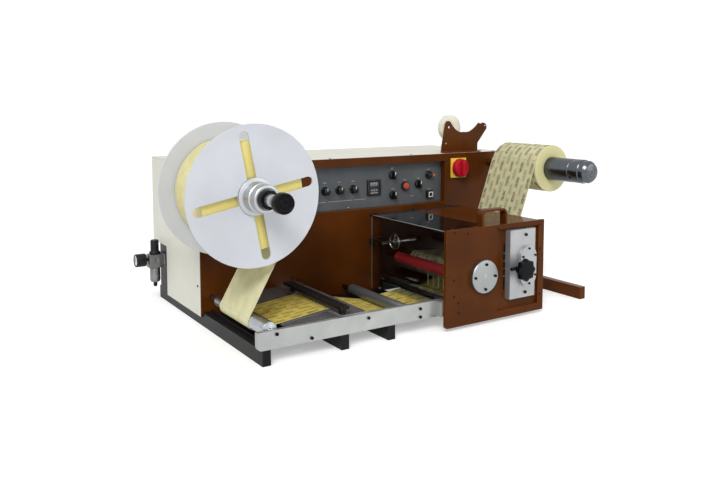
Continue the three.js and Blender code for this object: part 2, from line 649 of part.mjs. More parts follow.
function strapHandle(x0, x1, y0, y1, z0, height, strap) {
  const arch = (inset, radius, z) => {
    const shape = new THREE.Shape();
    const crown = z0 + height - inset;
    shape.moveTo(x0 + inset, z);
    shape.lineTo(x1 - inset, z);
    shape.lineTo(x1 - inset, crown - radius);
    shape.absarc(x1 - inset - radius, crown - radius, radius, 0, Math.PI / 2, false);
    shape.lineTo(x0 + inset + radius, crown);
    shape.absarc(x0 + inset + radius, crown - radius, radius, Math.PI / 2, Math.PI, false);
    return shape;
  };
  return cut(plateXZ(arch(0, 18, z0), y0, y1, 6), plateXZ(arch(strap, 12, z0 - 5), y0 - 1, y1 + 1, 6));
}
add('lid_frame', lidFrame(), brownPaint);
add('lid_window', lidWindow(), smokedAcrylic);

// A clear sheet with a leg at its back that reaches down past the web's edge
function sideGuard() {
  const sheet = box(GUARD.left, GUARD.right, LID.front, LID.back, GUARD.bottom, LID.bottom - 2);
  const leg = box(GUARD.left, GUARD.right, GUARD.legFront, LID.back, GUARD.legBottom, GUARD.bottom + 1);
  return join(sheet, leg);
}
add('side_guard', sideGuard(), clearAcrylic);

const HANDWHEEL = { x: 622, rim: 28, inner: 22.5, spokeReach: 25, half: 3, hub: 8 };

function adjuster() {
  const { x, rim: outer, inner, spokeReach, half, hub: hubRadius } = HANDWHEEL;
  const { y, z } = SPINDLE;
  const spindle = rodX(y, z, SPINDLE.radius, SPINDLE.left, SPINDLE.right, 16);
  const rim = new THREE.LatheGeometry([[inner, -half], [outer, -half], [outer, half], [inner, half], [inner, -half]]
    .map(([r, h]) => new THREE.Vector2(r, h)), 24);
  const ring = closed(rim.rotateZ(Math.PI / 2).translate(x, y, z));
  const spokeAcross = box(x - 1.5, x + 1.5, y - spokeReach, y + spokeReach, z - half, z + half);
  const spokeUp = box(x - 1.5, x + 1.5, y - half, y + half, z - spokeReach, z + spokeReach);
  const hub = rodX(y, z, hubRadius, x - 8, x + 12, 16);
  return join(spindle, ring, spokeAcross, spokeUp, hub);
}
add('adjuster_handwheel', adjuster(), chromePlate);

// Web path: a band wrapped round directed circles, turn 1 anticlockwise and -1 clockwise seen from the front

function wrapRadius({ radius }) {
  return radius + GAP + WEB.thickness / 2;
}

function tangent(from, to) {
  const dx = to.x - from.x;
  const dz = to.z - from.z;
  const signedFrom = from.turn * from.reach;
  const signedTo = to.turn * to.reach;
  const angle = Math.atan2(dz, dx) - Math.asin((signedTo - signedFrom) / Math.hypot(dx, dz));
  const normal = [-Math.sin(angle), Math.cos(angle)];
  return {
    start: [from.x - signedFrom * normal[0], from.z - signedFrom * normal[1]],
    end: [to.x - signedTo * normal[0], to.z - signedTo * normal[1]],
  };
}

function arcPoints(circle, from, to) {
  const first = Math.atan2(from[1] - circle.z, from[0] - circle.x);
  let sweep = Math.atan2(to[1] - circle.z, to[0] - circle.x) - first;
  if (circle.turn > 0 && sweep < 0) sweep += Math.PI * 2;
  if (circle.turn < 0 && sweep > 0) sweep -= Math.PI * 2;
  const steps = Math.max(1, Math.ceil(Math.abs(sweep) / (Math.PI / 12)));
  return Array.from({ length: steps + 1 }, (_, i) => {
    const angle = first + (sweep * i) / steps;
    return [circle.x + circle.reach * Math.cos(angle), circle.z + circle.reach * Math.sin(angle)];
  });
}

function ribbon(path, webBack = WEB.back) {
  const half = WEB.thickness / 2;
  const sideOf = (sign) => path.map((point, i) => {
    const before = path[Math.max(0, i - 1)];
    const after = path[Math.min(path.length - 1, i + 1)];
    const dx = after[0] - before[0];
    const dz = after[1] - before[1];
    const length = Math.hypot(dx, dz);
    return [point[0] - (sign * half * dz) / length, point[1] + (sign * half * dx) / length];
  });
  return plateXZ(outline([...sideOf(1), ...sideOf(-1).reverse()]), WEB.front, webBack);
}

function shortened(start, end, gap) {
  const length = Math.hypot(end[0] - start[0], end[1] - start[1]);
  const t = gap / length;
  return [start[0] + (end[0] - start[0]) * t, start[1] + (end[1] - start[1]) * t];
}

const wheel = (place, turn) => ({ ...place, turn, reach: wrapRadius(place) });
const unwindRoll = { x: MANDREL.x, z: MANDREL.z, turn: 1, reach: MANDREL.paperRadius + GAP + WEB.thickness / 2 };
const rewindRoll = { x: REEL.x, z: REEL.z, turn: 1, reach: REEL.paperRadius + GAP + WEB.thickness / 2 };
const runWheels = [
  wheel(GUIDE_ROLLER, -1), wheel(PULL_ROLLER, 1), wheel(TURNING_BAR, -1), wheel(TIE_BAR, -1),
  wheel(TABLE_ROLLER, -1), wheel(SLOT_EDGE, 1), wheel(IDLER, -1),
];

const feed = tangent(unwindRoll, runWheels[0]);
add('web_unwind_span', ribbon([feed.start, shortened(feed.end, feed.start, 1)], UNWIND_BACK), siliconePaper);

const rewind = tangent(runWheels[runWheels.length - 1], rewindRoll);

function webRun() {
  const path = [];
  let entry = feed.end;
  runWheels.forEach((circle, i) => {
    const isLast = i === runWheels.length - 1;
    const leave = isLast ? rewind : tangent(circle, runWheels[i + 1]);
    path.push(...arcPoints(circle, entry, leave.start));
    entry = leave.end;
  });
  return ribbon(path);
}
add('web_run', webRun(), labelPaper);
add('web_rewind_span', ribbon([shortened(rewind.start, rewind.end, 1), rewind.end]), siliconePaper);

// Air regulator in the casing's notch, with its gauge facing left

const AIR = { x: -24.5, y: 325, z: 134.5 };
const BODY = { bottom: 109, top: 150, left: -46.5, right: -2.5 };

function regulatorBody() {
  const block = box(BODY.left, BODY.right, AIR.y - 18, AIR.y + 18, BODY.bottom, BODY.top);
  const pad = box(BODY.right - 1, UPRIGHT.left - GAP, AIR.y - 25, AIR.y + 25, 118, BODY.top);
  const bowl = rodZ(AIR.x, AIR.y, 15.5, 63, BODY.bottom + 1, 24);
  const drain = rodZ(AIR.x, AIR.y, 6, 48, 64, 12);
  return join(block, pad, bowl, drain);
}
add('regulator_body', regulatorBody(), greyPaint);

function regulatorKnob() {
  const ring = rodZ(AIR.x, AIR.y, 16.5, BODY.top + GAP, 158, 24);
  const grip = rodZ(AIR.x, AIR.y, 12.5, 157, 194, 24);
  return join(ring, grip);
}
add('regulator_knob', regulatorKnob(), blackPlastic);

function gauge() {
  const neck = rodX(AIR.y, AIR.z, 5, -56, BODY.left - GAP, 12);
  const drum = rodX(AIR.y, AIR.z, 20, -85, -54, 28);
  return join(neck, drum);
}
add('pressure_gauge', gauge(), blackPlastic);

export default machine;
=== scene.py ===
# Label slitter rewinder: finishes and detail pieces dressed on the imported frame.
import cmath
import math
from itertools import pairwise

import bmesh
import bpy
from mathutils import Matrix, Vector


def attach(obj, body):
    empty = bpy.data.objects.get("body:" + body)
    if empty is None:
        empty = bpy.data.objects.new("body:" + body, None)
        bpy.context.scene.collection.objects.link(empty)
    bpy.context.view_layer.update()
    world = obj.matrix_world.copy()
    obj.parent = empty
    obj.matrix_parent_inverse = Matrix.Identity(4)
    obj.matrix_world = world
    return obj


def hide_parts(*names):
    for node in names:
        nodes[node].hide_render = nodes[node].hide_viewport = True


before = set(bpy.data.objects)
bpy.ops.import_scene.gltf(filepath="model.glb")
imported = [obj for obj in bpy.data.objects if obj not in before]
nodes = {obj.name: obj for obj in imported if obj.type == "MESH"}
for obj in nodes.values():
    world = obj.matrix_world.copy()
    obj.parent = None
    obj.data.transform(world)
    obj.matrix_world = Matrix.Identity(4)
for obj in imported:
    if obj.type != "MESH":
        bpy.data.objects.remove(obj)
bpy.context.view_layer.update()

# The drawing is in millimetres from the casing's front left corner at bench level
FOOTPRINT_MID_X = 494.5
FOOTPRINT_MID_Y = -29.0
MM = 0.001
WEB_FRONT = -288.0
WEB_BACK = -110.0
UNWIND_BACK = -92.0
WEB_THICKNESS = 0.6


def at(x, y, z):
    """A point of the drawing, in the frame's metres."""
    return Vector(((x - FOOTPRINT_MID_X) * MM, (y - FOOTPRINT_MID_Y) * MM, z * MM))


# Camera: solved from the photograph's straight edges

camera_data = bpy.data.cameras.new("camera")
camera_data.sensor_width = 36.0
camera_data.lens = 36.72
camera_data.shift_y = -0.1041
camera_data.clip_end = 50.0
camera = bpy.data.objects.new("camera", camera_data)
camera.location = at(-717.46, -1917.23, 620.04)
camera.rotation_euler = (math.radians(85.0), 0.0, math.radians(-33.08))
bpy.context.scene.collection.objects.link(camera)
bpy.context.scene.camera = camera
bpy.context.scene.view_settings.view_transform = "Standard"

# Materials. A grain too fine for the render's pixels is drawn as coarse as it needs to show

RELIEF_DEPTH = 0.2
EDGE_WEAR_AND_HIGHLIGHT_RADIUS = 1.2


def srgb(hex_colour):
    """A hex sRGB colour as the linear colour that the shader takes."""
    values = [int(hex_colour[i:i + 2], 16) / 255 for i in (1, 3, 5)]
    linear = [v / 12.92 if v <= 0.04045 else ((v + 0.055) / 1.055) ** 2.4 for v in values]
    return (*linear, 1.0)


def connect(material, value, socket):
    """Sets a socket to a value, or links it to a socket or to a node's first output in use."""
    if isinstance(value, bpy.types.Node):
        value = next(output for output in value.outputs if output.enabled)
    if isinstance(value, bpy.types.NodeSocket):
        material.node_tree.links.new(value, socket)
    else:
        socket.default_value = value


def add_node(material, kind, inputs=(), operation=None, **settings):
    """One node with its settings; inputs go to the sockets in use in their order, or by name."""
    node = material.node_tree.nodes.new("ShaderNode" + kind)
    if operation:
        node.operation = operation
    for name, value in settings.items():
        setattr(node, name, value)
    in_use = [socket for socket in node.inputs if socket.enabled]
    for key, value in inputs.items() if isinstance(inputs, dict) else enumerate(inputs):
        connect(material, value, node.inputs[key] if isinstance(key, str) else in_use[key])
    return node


def new_material(name):
    """A material and its place, the drawing's coordinates on the surface."""
    material = bpy.data.materials.new(name)
    material.use_nodes = True
    return material, drawing_coordinates(material)


def dress(material, finish):
    """Gives the shader its finish by the names of its sockets; a roughness may be (pattern, least, most)."""
    shader = material.node_tree.nodes["Principled BSDF"]
    for name, value in finish.items():
        if name == "Roughness" and isinstance(value, tuple):
            pattern, least, most = value
            value = add_node(material, "MapRange", (pattern, 0, 1, least, most))
        connect(material, value, shader.inputs[name])
    return material


def drawing_coordinates(material, origin=(0, 0, 0)):
    """Object coordinates in millimetres from a point of the drawing."""
    return add_node(material, "Mapping", {
        "Vector": add_node(material, "TexCoord").outputs["Object"],
        "Location": tuple(-c / MM for c in at(*origin)),
        "Scale": (1 / MM, 1 / MM, 1 / MM),
    })


def mottle(material, place, sizes_mm, detail=2.0):
    """Noise whose grains are so many millimetres across, one number or one for each direction."""
    sizes = sizes_mm if isinstance(sizes_mm, tuple) else (sizes_mm,) * 3
    per_mm = tuple(1 / size for size in sizes)
    grains = add_node(material, "VectorMath", (place, per_mm), "MULTIPLY")
    return add_node(material, "TexNoise", {"Vector": grains, "Scale": 1.0, "Detail": detail})


def two_tone(material, pattern, dark, light, spread=0.2):
    """One hex colour under the pattern's middle and one over it, blended across the spread either way."""
    share = add_node(material, "MapRange", (pattern, 0.5 - spread, 0.5 + spread, 0.0, 1.0))
    return add_node(material, "Mix", (share, srgb(dark), srgb(light)), data_type="RGBA")


def soft_edges(material, radius_mm, relief=None, strength=0.1):
    """The normal of edges broken by radius_mm, with a fine relief over it."""
    rounded = add_node(material, "Bevel", {"Radius": radius_mm * MM}, samples=4)
    if relief is None:
        return rounded
    return add_node(material, "Bump", {
        "Height": relief, "Normal": rounded, "Strength": strength, "Distance": RELIEF_DEPTH * MM,
    })


# Edge mask for the lighter edge colour, which stands for rubbed wear and for a painted edge highlight
def edge_wear_and_highlight(material):
    """1 on sharp edges and 0 on flats, from how far the broken edge's normal turns."""
    rounded = add_node(material, "Bevel", {"Radius": EDGE_WEAR_AND_HIGHLIGHT_RADIUS * MM}, samples=4)
    flat = add_node(material, "NewGeometry").outputs["Normal"]
    turn_away = add_node(material, "VectorMath", (rounded, flat), "DOT_PRODUCT")
    return add_node(material, "MapRange", (turn_away, 0.98, 0.8, 0.0, 1.0))


def round_axis(material, centre, start=0):
    """Radius, angle and depth from the start, round an axis that runs from front to back."""
    place = drawing_coordinates(material, (centre[0], start, centre[1]))
    x, depth, z = add_node(material, "SeparateXYZ", (place,)).outputs
    radius = add_node(material, "VectorMath", (add_node(material, "CombineXYZ", (x, z)),), "LENGTH")
    angle = add_node(material, "Math", (z, x), "ARCTAN2")
    return radius, angle, depth


def rings_round(material, radius, along, pitch_mm):
    """Fine rings round an axis, as turning or winding leaves them."""
    return mottle(material, add_node(material, "CombineXYZ", (radius, along)), pitch_mm, 3.0)


def powder_coat(name, dark, light, roughness, peel_mm, specular, worn_and_lit_edge=None, peel_strength=0.05):
    """Powder coat or enamel on sheet steel: a fine orange peel, slightly uneven gloss, and edges painted
    lighter, partly as rubbed wear and partly as a painted highlight.
    """
    material, place = new_material(name)
    colour = two_tone(material, mottle(material, place, 140, 3.0), dark, light, 0.15)
    # Edges painted lighter: partly rubbed wear, partly a painted highlight
    if worn_and_lit_edge:
        colour = add_node(material, "Mix", (edge_wear_and_highlight(material), colour, srgb(worn_and_lit_edge)), data_type="RGBA")
    gloss = mottle(material, place, 35, 3.0)
    return dress(material, {
        "Base Color": colour,
        "Specular IOR Level": specular,
        "Roughness": (gloss, roughness - 0.05, roughness + 0.07),
        "Normal": soft_edges(material, 0.9, mottle(material, place, peel_mm), peel_strength),
    })


def moulded(name, dark, light, roughness, specular=0.5):
    """Moulded plastic: even colour, satin skin with a fine spark-eroded grain."""
    material, place = new_material(name)
    grain = mottle(material, place, 0.7)
    return dress(material, {
        "Base Color": two_tone(material, mottle(material, place, 9), dark, light),
        "Specular IOR Level": specular,
        "Roughness": (grain, roughness - 0.05, roughness + 0.06),
        "Normal": soft_edges(material, 0.5, grain),
    })


def metal(name, dark, light, roughness, grain_mm=1.2, strength=0.08, metallic=1.0):
    """Metal, grained the way that it was drawn or milled; metallic is under 1 where its skin is dull."""
    material, place = new_material(name)
    smudge = mottle(material, place, 45, 3.0)
    return dress(material, {
        "Base Color": two_tone(material, smudge, dark, light),
        "Metallic": metallic,
        "Roughness": (smudge, roughness - 0.04, roughness + 0.05),
        "Normal": soft_edges(material, 0.5, mottle(material, place, grain_mm, 4.0), strength),
    })


def turned_metal(name, centre, dark, light, roughness, pitch_mm=1.4, strength=0.06, metallic=1.0):
    """Metal turned on a lathe: fine rings round its axis."""
    material, place = new_material(name)
    radius, _, along = round_axis(material, centre)
    rings = rings_round(material, radius, along, pitch_mm)
    smudge = mottle(material, place, 30, 3.0)
    return dress(material, {
        "Base Color": two_tone(material, rings, dark, light),
        "Metallic": metallic,
        "Roughness": (smudge, roughness - 0.03, roughness + 0.05),
        "Normal": soft_edges(material, 0.5, rings, strength),
    })


# Polyester powder coat: warm off-white with a soft sheen
cream_powder_coat = powder_coat("cream_powder_coat", "#D0CFC3", "#D5D4C8", 0.42, 1.4, 0.4)
# Stoving enamel: deep brown that mirrors faintly, its edges painted lighter as rubbed wear and as a painted
# highlight
brown_enamel = powder_coat("brown_enamel", "#4A260A", "#562C0C", 0.2, 1.6, 0.08, "#8A4A1C", 0.012)
# Air-dried enamel: satin black, its edges painted grey as wear and as a painted highlight
black_enamel = powder_coat("black_enamel", "#101011", "#18181A", 0.4, 1.2, 0.14, "#3A3A3A")
# Milled aluminium: pale and half matt, cutter lines from left to right
milled_aluminium = metal("milled_aluminium", "#A3A5A7", "#AEB0B2", 0.42, (20, 1, 1), metallic=0.7)
# Anodised extrusion: even light grey, drawn along the rail
anodised_aluminium = metal("anodised_aluminium", "#A8AAA9", "#B5B7B5", 0.5, (30, 1.2, 1.2))
# Ground steel sheet: a dull mirror that picks up the panel behind it
satin_plate = metal("satin_plate", "#A0A5A9", "#B2B6BA", 0.24, (1.5, 37.5, 1.5), 0.04, 0.8)
# Chrome plate: bright, clear reflections
chrome = metal("chrome", "#B2B6BA", "#CACDD0", 0.12)
# Blackened screw steel: near black with a grey glint
black_oxide = metal("black_oxide", "#1A1A1C", "#2A2A2D", 0.4)
# Die-cast zinc: dull grey, slightly rough skin
zinc_casting = metal("zinc_casting", "#6E6F70", "#929392", 0.45, 0.8, 0.15)
# Polished phenolic knobs: deep black with small sharp lights
black_phenolic = moulded("black_phenolic", "#08080A", "#0E0E0F", 0.16, 0.4)
# Grooved phenolic grips: black and duller, worn by hands
grooved_phenolic = moulded("grooved_phenolic", "#08080A", "#0E0E0F", 0.3, 0.1)
# Glass-filled nylon: matt charcoal
black_nylon = moulded("black_nylon", "#101011", "#181819", 0.4, 0.25)
# Screen-printed ink: flat light grey
grey_legend = moulded("grey_legend", "#A2A4A4", "#A2A4A4", 0.5)
# Tinted window of the counter: dark and glossy
readout_glass = moulded("readout_glass", "#4E5254", "#4E5254", 0.2)
# Urea buttons and switch parts: strong colour, half gloss
red_button_plastic = moulded("red_button_plastic", "#A84434", "#B24C3A", 0.4, 0.25)
red_switch_plastic = moulded("red_switch_plastic", "#A80E20", "#B41426", 0.3, 0.2)
orange_pointer = moulded("orange_pointer", "#C05A28", "#C05A28", 0.4)
yellow_switch_plastic = moulded("yellow_switch_plastic", "#D9B62A", "#E2C03A", 0.42)
# Filled white lines and the gauge's enamelled face
white_insert = moulded("white_insert", "#E4E4DF", "#E4E4DF", 0.4)
gauge_enamel_white = moulded("gauge_enamel_white", "#E6E7E4", "#E6E7E4", 0.15)
# Flame-polished edge of an acrylic sheet: a light grey line
cut_edge = moulded("cut_edge", "#8A8B85", "#8A8B85", 0.3)


def milky_polypropylene():
    """White sheet plastic, a little translucent, with a faint bluish cast."""
    material, place = new_material("milky_polypropylene")
    return dress(material, {
        "Base Color": two_tone(material, mottle(material, place, 120), "#C3C6CC", "#CDD0D6"),
        "Roughness": (mottle(material, place, 20, 3.0), 0.3, 0.42),
        "Normal": soft_edges(material, 1.0),
        "Specular IOR Level": 0.35,
        "Subsurface Weight": 0.12,
        "Subsurface Radius": (0.004, 0.004, 0.005),
    })


def ground_rubber():
    """Red nitrile covering, ground matt."""
    material, place = new_material("ground_rubber")
    grain = mottle(material, place, 0.9, 3.0)
    return dress(material, {
        "Base Color": two_tone(material, mottle(material, place, 25), "#B81E2A", "#C82834"),
        "Roughness": (grain, 0.5, 0.62),
        "Normal": soft_edges(material, 0.8, grain, 0.15),
    })


# The labels' print, in millimetres of a cell along and across the web; its other numbers are shares of a cell
PRINT_CELL = (49.0, 22.0)
STROKE_START = (0.16, 0.26)
CUT_WIDTH = (0.02, 0.03)
LANE_SHIFT = 0.5


def print_marks(material, run, across):
    """Broken strokes along the web, staggered and fainter in every second lane; and the labels' cuts."""
    lane = add_node(material, "Math", (across, PRINT_CELL[1]), "DIVIDE")
    lane_number = add_node(material, "Math", (lane,), "FLOOR")
    second_lane = add_node(material, "Math", (lane_number, 2.0), "FLOORED_MODULO")
    repeat = add_node(material, "Math", (run, PRINT_CELL[0]), "DIVIDE")
    cell = add_node(material, "Math", (second_lane, LANE_SHIFT, repeat), "MULTIPLY_ADD")
    ways_in = [add_node(material, "Math", (way, 0.5), "PINGPONG") for way in (cell, lane)]
    inside = [add_node(material, "Math", (way, start), "GREATER_THAN")
              for way, start in zip(ways_in, STROKE_START)]
    stroke = add_node(material, "Math", inside, "MULTIPLY")
    flecks = mottle(material, add_node(material, "CombineXYZ", (run, across)), (4.5, 2.6, 1), 1.0)
    broken = add_node(material, "Math", (flecks, 0.47), "GREATER_THAN")
    faint = add_node(material, "MapRange", (second_lane, 0, 1, 1.0, 0.6))
    ink = add_node(material, "Math", (stroke, broken), "MULTIPLY")
    edges = [add_node(material, "Math", (way, width), "LESS_THAN") for way, width in zip(ways_in, CUT_WIDTH)]
    return (add_node(material, "Math", (ink, faint), "MULTIPLY"),
            add_node(material, "Math", edges, "MAXIMUM"))


def printed_colour(material, place, run, across, dark, light, ink_hex, cut_hex, ink_weight, streaks=0.0):
    """The stock's colour with long smeared streaks, its cuts and its ink over it."""
    ink, cuts = print_marks(material, run, across)
    colour = two_tone(material, mottle(material, place, 28), dark, light, 0.15)
    if streaks:
        smear = mottle(material, add_node(material, "CombineXYZ", (run, across)), (38.0, 3.4, 1))
        share = add_node(material, "MapRange", (smear, 0.5, 0.68, 0.0, streaks))
        colour = add_node(material, "Mix", (share, colour, srgb(ink_hex)), data_type="RGBA")
    for marks, weight, over in ((cuts, 0.5, cut_hex), (ink, ink_weight, ink_hex)):
        share = add_node(material, "Math", (marks, weight), "MULTIPLY")
        colour = add_node(material, "Mix", (share, colour, srgb(over)), data_type="RGBA")
    return colour


STATION_SIDE = 575.0


def web_paper(name, stock, before=None):
    """Label stock on its own UV map of millimetres along and across; before is its look right of the bed."""
    material, place = new_material(name)
    web_mm = add_node(material, "UVMap", uv_map="web_mm")
    run, across, _ = add_node(material, "SeparateXYZ", (web_mm,)).outputs
    fibre = mottle(material, place, 1.1, 3.0)
    colour = printed_colour(material, place, run, across, *stock)
    if before:
        x = add_node(material, "SeparateXYZ", (place,)).outputs[0]
        in_station = add_node(material, "Math", (x, STATION_SIDE), "GREATER_THAN")
        earlier = printed_colour(material, place, run, across, *before)
        colour = add_node(material, "Mix", (in_station, colour, earlier), data_type="RGBA")
    return dress(material, {
        "Base Color": colour,
        "Roughness": (fibre, 0.5, 0.65),
        "Normal": soft_edges(material, 0.2, fibre, 0.08),
        "Specular IOR Level": 0.25,
    })


# A stock's dark and light paper, its ink, its cuts, and how strongly the ink and its streaks show
PRINTED_STOCK = ("#BDBF93", "#CBC49C", "#5F4142", "#D6D1AE", 0.85, 0.3)
YELLOW_STOCK = ("#CBB654", "#DECA6C", "#5A481C", "#E4D584", 0.7, 0.65)
printed_web = web_paper("printed_web", PRINTED_STOCK)
yellow_web = web_paper("yellow_web", YELLOW_STOCK, PRINTED_STOCK)
plain_web = web_paper("plain_web", ("#CBC79C", "#D6D2AA", "#A9A674", "#D0CCA4", 0.12))


def wound_roll(name, centre, outer_mm, side, stock):
    """A roll of label stock: print on the outside, and the winding's fine rings on its ends."""
    material, place = new_material(name)
    radius, angle, along = round_axis(material, centre, WEB_FRONT)
    run = add_node(material, "Math", (angle, outer_mm), "MULTIPLY")
    on_outside = add_node(material, "Math", (radius, outer_mm - 0.6), "GREATER_THAN")
    rings = rings_round(material, radius, 0.0, 1.6)
    broad = add_node(material, "Math", (rings_round(material, radius, 0.0, 11), 0.4), "MULTIPLY")
    fine = two_tone(material, rings, *side[:2])
    ends = add_node(material, "Mix", (broad, fine, srgb(side[2])), data_type="RGBA")
    outside = printed_colour(material, place, run, along, *stock)
    return dress(material, {
        "Base Color": add_node(material, "Mix", (on_outside, ends, outside), data_type="RGBA"),
        "Roughness": 0.6,
        "Specular IOR Level": 0.25,
        "Normal": soft_edges(material, 0.6, rings, 0.25),
    })


# An axis from front to back is given by its x and z
UNWIND = (1060.0, 408.0)
REWIND = (30.0, 392.0)
UNWIND_ROLL_RADIUS = 74.0
REWIND_ROLL_RADIUS = 134.0

printed_roll = wound_roll("printed_roll", UNWIND, UNWIND_ROLL_RADIUS, ("#CFC892", "#DCD6A8", "#B9B27C"),
                          PRINTED_STOCK)
rewound_roll = wound_roll("rewound_roll", REWIND, REWIND_ROLL_RADIUS, ("#E0D07A", "#ECDF92", "#D6C56A"),
                          ("#D9CF96", "#E2D9A4", "#A9985A", "#E8E1B6", 0.12))

COLLAR_FACE = 20.8


def control_plate_paint():
    """Dark grey painted plate; the collars moulded on it are black."""
    material, place = new_material("control_plate_paint")
    paint = two_tone(material, mottle(material, place, 90, 3.0), "#484C50", "#54585B")
    depth = add_node(material, "SeparateXYZ", (place,)).outputs[1]
    raised = add_node(material, "Math", (depth, COLLAR_FACE), "LESS_THAN")
    grain = mottle(material, place, 1.1)
    return dress(material, {
        "Base Color": add_node(material, "Mix", (raised, paint, srgb("#141415")), data_type="RGBA"),
        "Roughness": (grain, 0.42, 0.55),
        "Normal": soft_edges(material, 0.6, grain),
        "Specular IOR Level": 0.35,
    })


def cast_acrylic(name, dark, light, tone_mm, haze_mm, smooth, hazy, transmission):
    """Cast acrylic sheet: smoked nearly black, or clear with little but its reflections and cut edges."""
    material, place = new_material(name)
    return dress(material, {
        "Base Color": two_tone(material, mottle(material, place, tone_mm), dark, light),
        "Roughness": (mottle(material, place, haze_mm, 3.0), smooth, hazy),
        "Normal": soft_edges(material, 0.4),
        "IOR": 1.49,
        "Transmission Weight": transmission,
    })


TAPE = (914.0, 530.0)


def wound_tape():
    """Clear polypropylene tape with yellowish adhesive: milky from the side, fine winding rings."""
    material, place = new_material("wound_tape")
    rings = rings_round(material, round_axis(material, TAPE)[0], 0.0, 1.5)
    tone = two_tone(material, mottle(material, place, 35, 3.0), "#C9C8B4", "#DAD9C8", 0.15)
    share = add_node(material, "Math", (rings, 0.5), "MULTIPLY")
    return dress(material, {
        "Base Color": add_node(material, "Mix", (share, tone, srgb("#E6E4D6")), data_type="RGBA"),
        "Roughness": (rings, 0.18, 0.32),
        "Normal": soft_edges(material, 0.5, rings, 0.12),
        "Subsurface Weight": 0.25,
        "Subsurface Radius": (0.006, 0.005, 0.003),
    })


control_paint = control_plate_paint()
milky_sheet = milky_polypropylene()
smoked_sheet = cast_acrylic("smoked_acrylic", "#101214", "#16181B", 80, 30, 0.03, 0.09, 0.25)
clear_sheet = cast_acrylic("clear_acrylic", "#E4E9EA", "#EDF1F1", 90, 40, 0.01, 0.05, 1.0)
tape_film = wound_tape()
nitrile = ground_rubber()

# The solids whose shape is final only get their finish

for finish, names in [
    (cream_powder_coat, ["left_side_panel", "right_side_panel", "top_cover"]),
    (brown_enamel, ["right_skid", "front_panel", "tape_bracket", "station_front_plate", "lid_frame"]),
    (black_enamel, ["left_skid", "middle_skid", "inner_skid", "chassis_floor", "rewind_motor", "unwind_brake",
                    "bed_end_plate", "guide_bar", "station_rear_plate"]),
    (control_paint, ["control_plate"]),
    (anodised_aluminium, ["front_rail"]),
    (milled_aluminium, ["bearing_block"]),
    (satin_plate, ["table_plate"]),
    (milky_sheet, ["back_disc", "front_disc"]),
    (smoked_sheet, ["lid_window"]),
    (clear_sheet, ["side_guard"]),
]:
    for name in names:
        for material_slot in nodes[name].material_slots:
            material_slot.material = finish

# Modelling tools: each piece is drawn at its place and its transform is applied

AXES = {
    "X": (0, Vector((1, 0, 0)), (0, math.pi / 2, 0)),
    "Y": (1, Vector((0, 1, 0)), (-math.pi / 2, 0, 0)),
    "Z": (2, Vector((0, 0, 1)), (0, 0, 0)),
}


def clear_selection():
    active = bpy.context.view_layer.objects.active
    if active is not None and active.mode != "OBJECT":
        bpy.ops.object.mode_set(mode="OBJECT")
    bpy.ops.object.select_all(action="DESELECT")


def select_only(piece):
    clear_selection()
    piece.select_set(True)
    bpy.context.view_layer.objects.active = piece


def settle(piece, name):
    """Leaves edit mode, names the piece and puts its place into its mesh."""
    select_only(piece)
    bpy.ops.object.transform_apply(location=True, rotation=True, scale=True)
    piece.name = name
    piece.data.name = name
    return piece


def apply_modifier(piece, kind, **settings):
    select_only(piece)
    modifier = piece.modifiers.new(kind.lower(), kind)
    for key, value in settings.items():
        setattr(modifier, key, value)
    bpy.ops.object.modifier_apply(modifier=modifier.name)


def shade(piece, angle_deg):
    """Smooth shading, but for the edges sharper than the angle."""
    select_only(piece)
    bpy.ops.object.shade_smooth_by_angle(angle=math.radians(angle_deg))


SHARP_EDGE = 35


def break_edges(piece, width_mm):
    """Bevels the sharp edges and shades what lies between them smooth."""
    apply_modifier(piece, "BEVEL", width=width_mm * MM, segments=2, limit_method="ANGLE",
                   angle_limit=math.radians(SHARP_EDGE))
    shade(piece, SHARP_EDGE)


def extrude(step):
    """Extrudes what is selected in edit mode by a step in millimetres."""
    bpy.ops.mesh.extrude_region_move(TRANSFORM_OT_translate={"value": Vector(step) * MM})


def begin(add_primitive, **settings):
    """Adds a primitive, selected all over, and goes into edit mode."""
    clear_selection()
    add_primitive(**settings)
    piece = bpy.context.object
    bpy.ops.object.mode_set(mode="EDIT")
    return piece


def close(piece, name):
    """Points all faces outwards and settles the piece."""
    bpy.ops.mesh.select_all(action="SELECT")
    bpy.ops.mesh.normals_make_consistent(inside=False)
    return settle(piece, name)


def fit(piece, body, material, replaces=()):
    """Gives a finished piece its material, its body and the nodes that it stands for."""
    if material is not None:
        piece.data.materials.clear()
        piece.data.materials.append(material)
    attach(piece, body)
    if replaces:
        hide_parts(*replaces)
    return piece


def turn(name, axis, centre, profile, sides=64, ring=False, edge_mm=0.4):
    """A turned piece: a disc at the first (radius, place), extruded along the axis to each next one."""
    number, direction, tilt = AXES[axis]

    def spot(place):
        values = list(centre)
        values.insert(number, place)
        return at(*values)

    radius, place = profile[0]
    piece = begin(bpy.ops.mesh.primitive_circle_add, vertices=sides, radius=radius * MM,
                  location=spot(place), rotation=tilt, fill_type="NOTHING" if ring else "NGON")
    for next_radius, next_place in profile[1:] + (profile[:1] if ring else []):
        extrude(direction * (next_place - place))
        if next_radius != radius:
            scale = [next_radius / radius] * 3
            scale[number] = 1.0
            bpy.ops.transform.resize(value=scale, center_override=spot(next_place))
        radius, place = next_radius, next_place
    if ring:
        bpy.ops.mesh.select_all(action="SELECT")
        bpy.ops.mesh.remove_doubles(threshold=1e-6)
    close(piece, name)
    if edge_mm:
        break_edges(piece, edge_mm)
    return piece


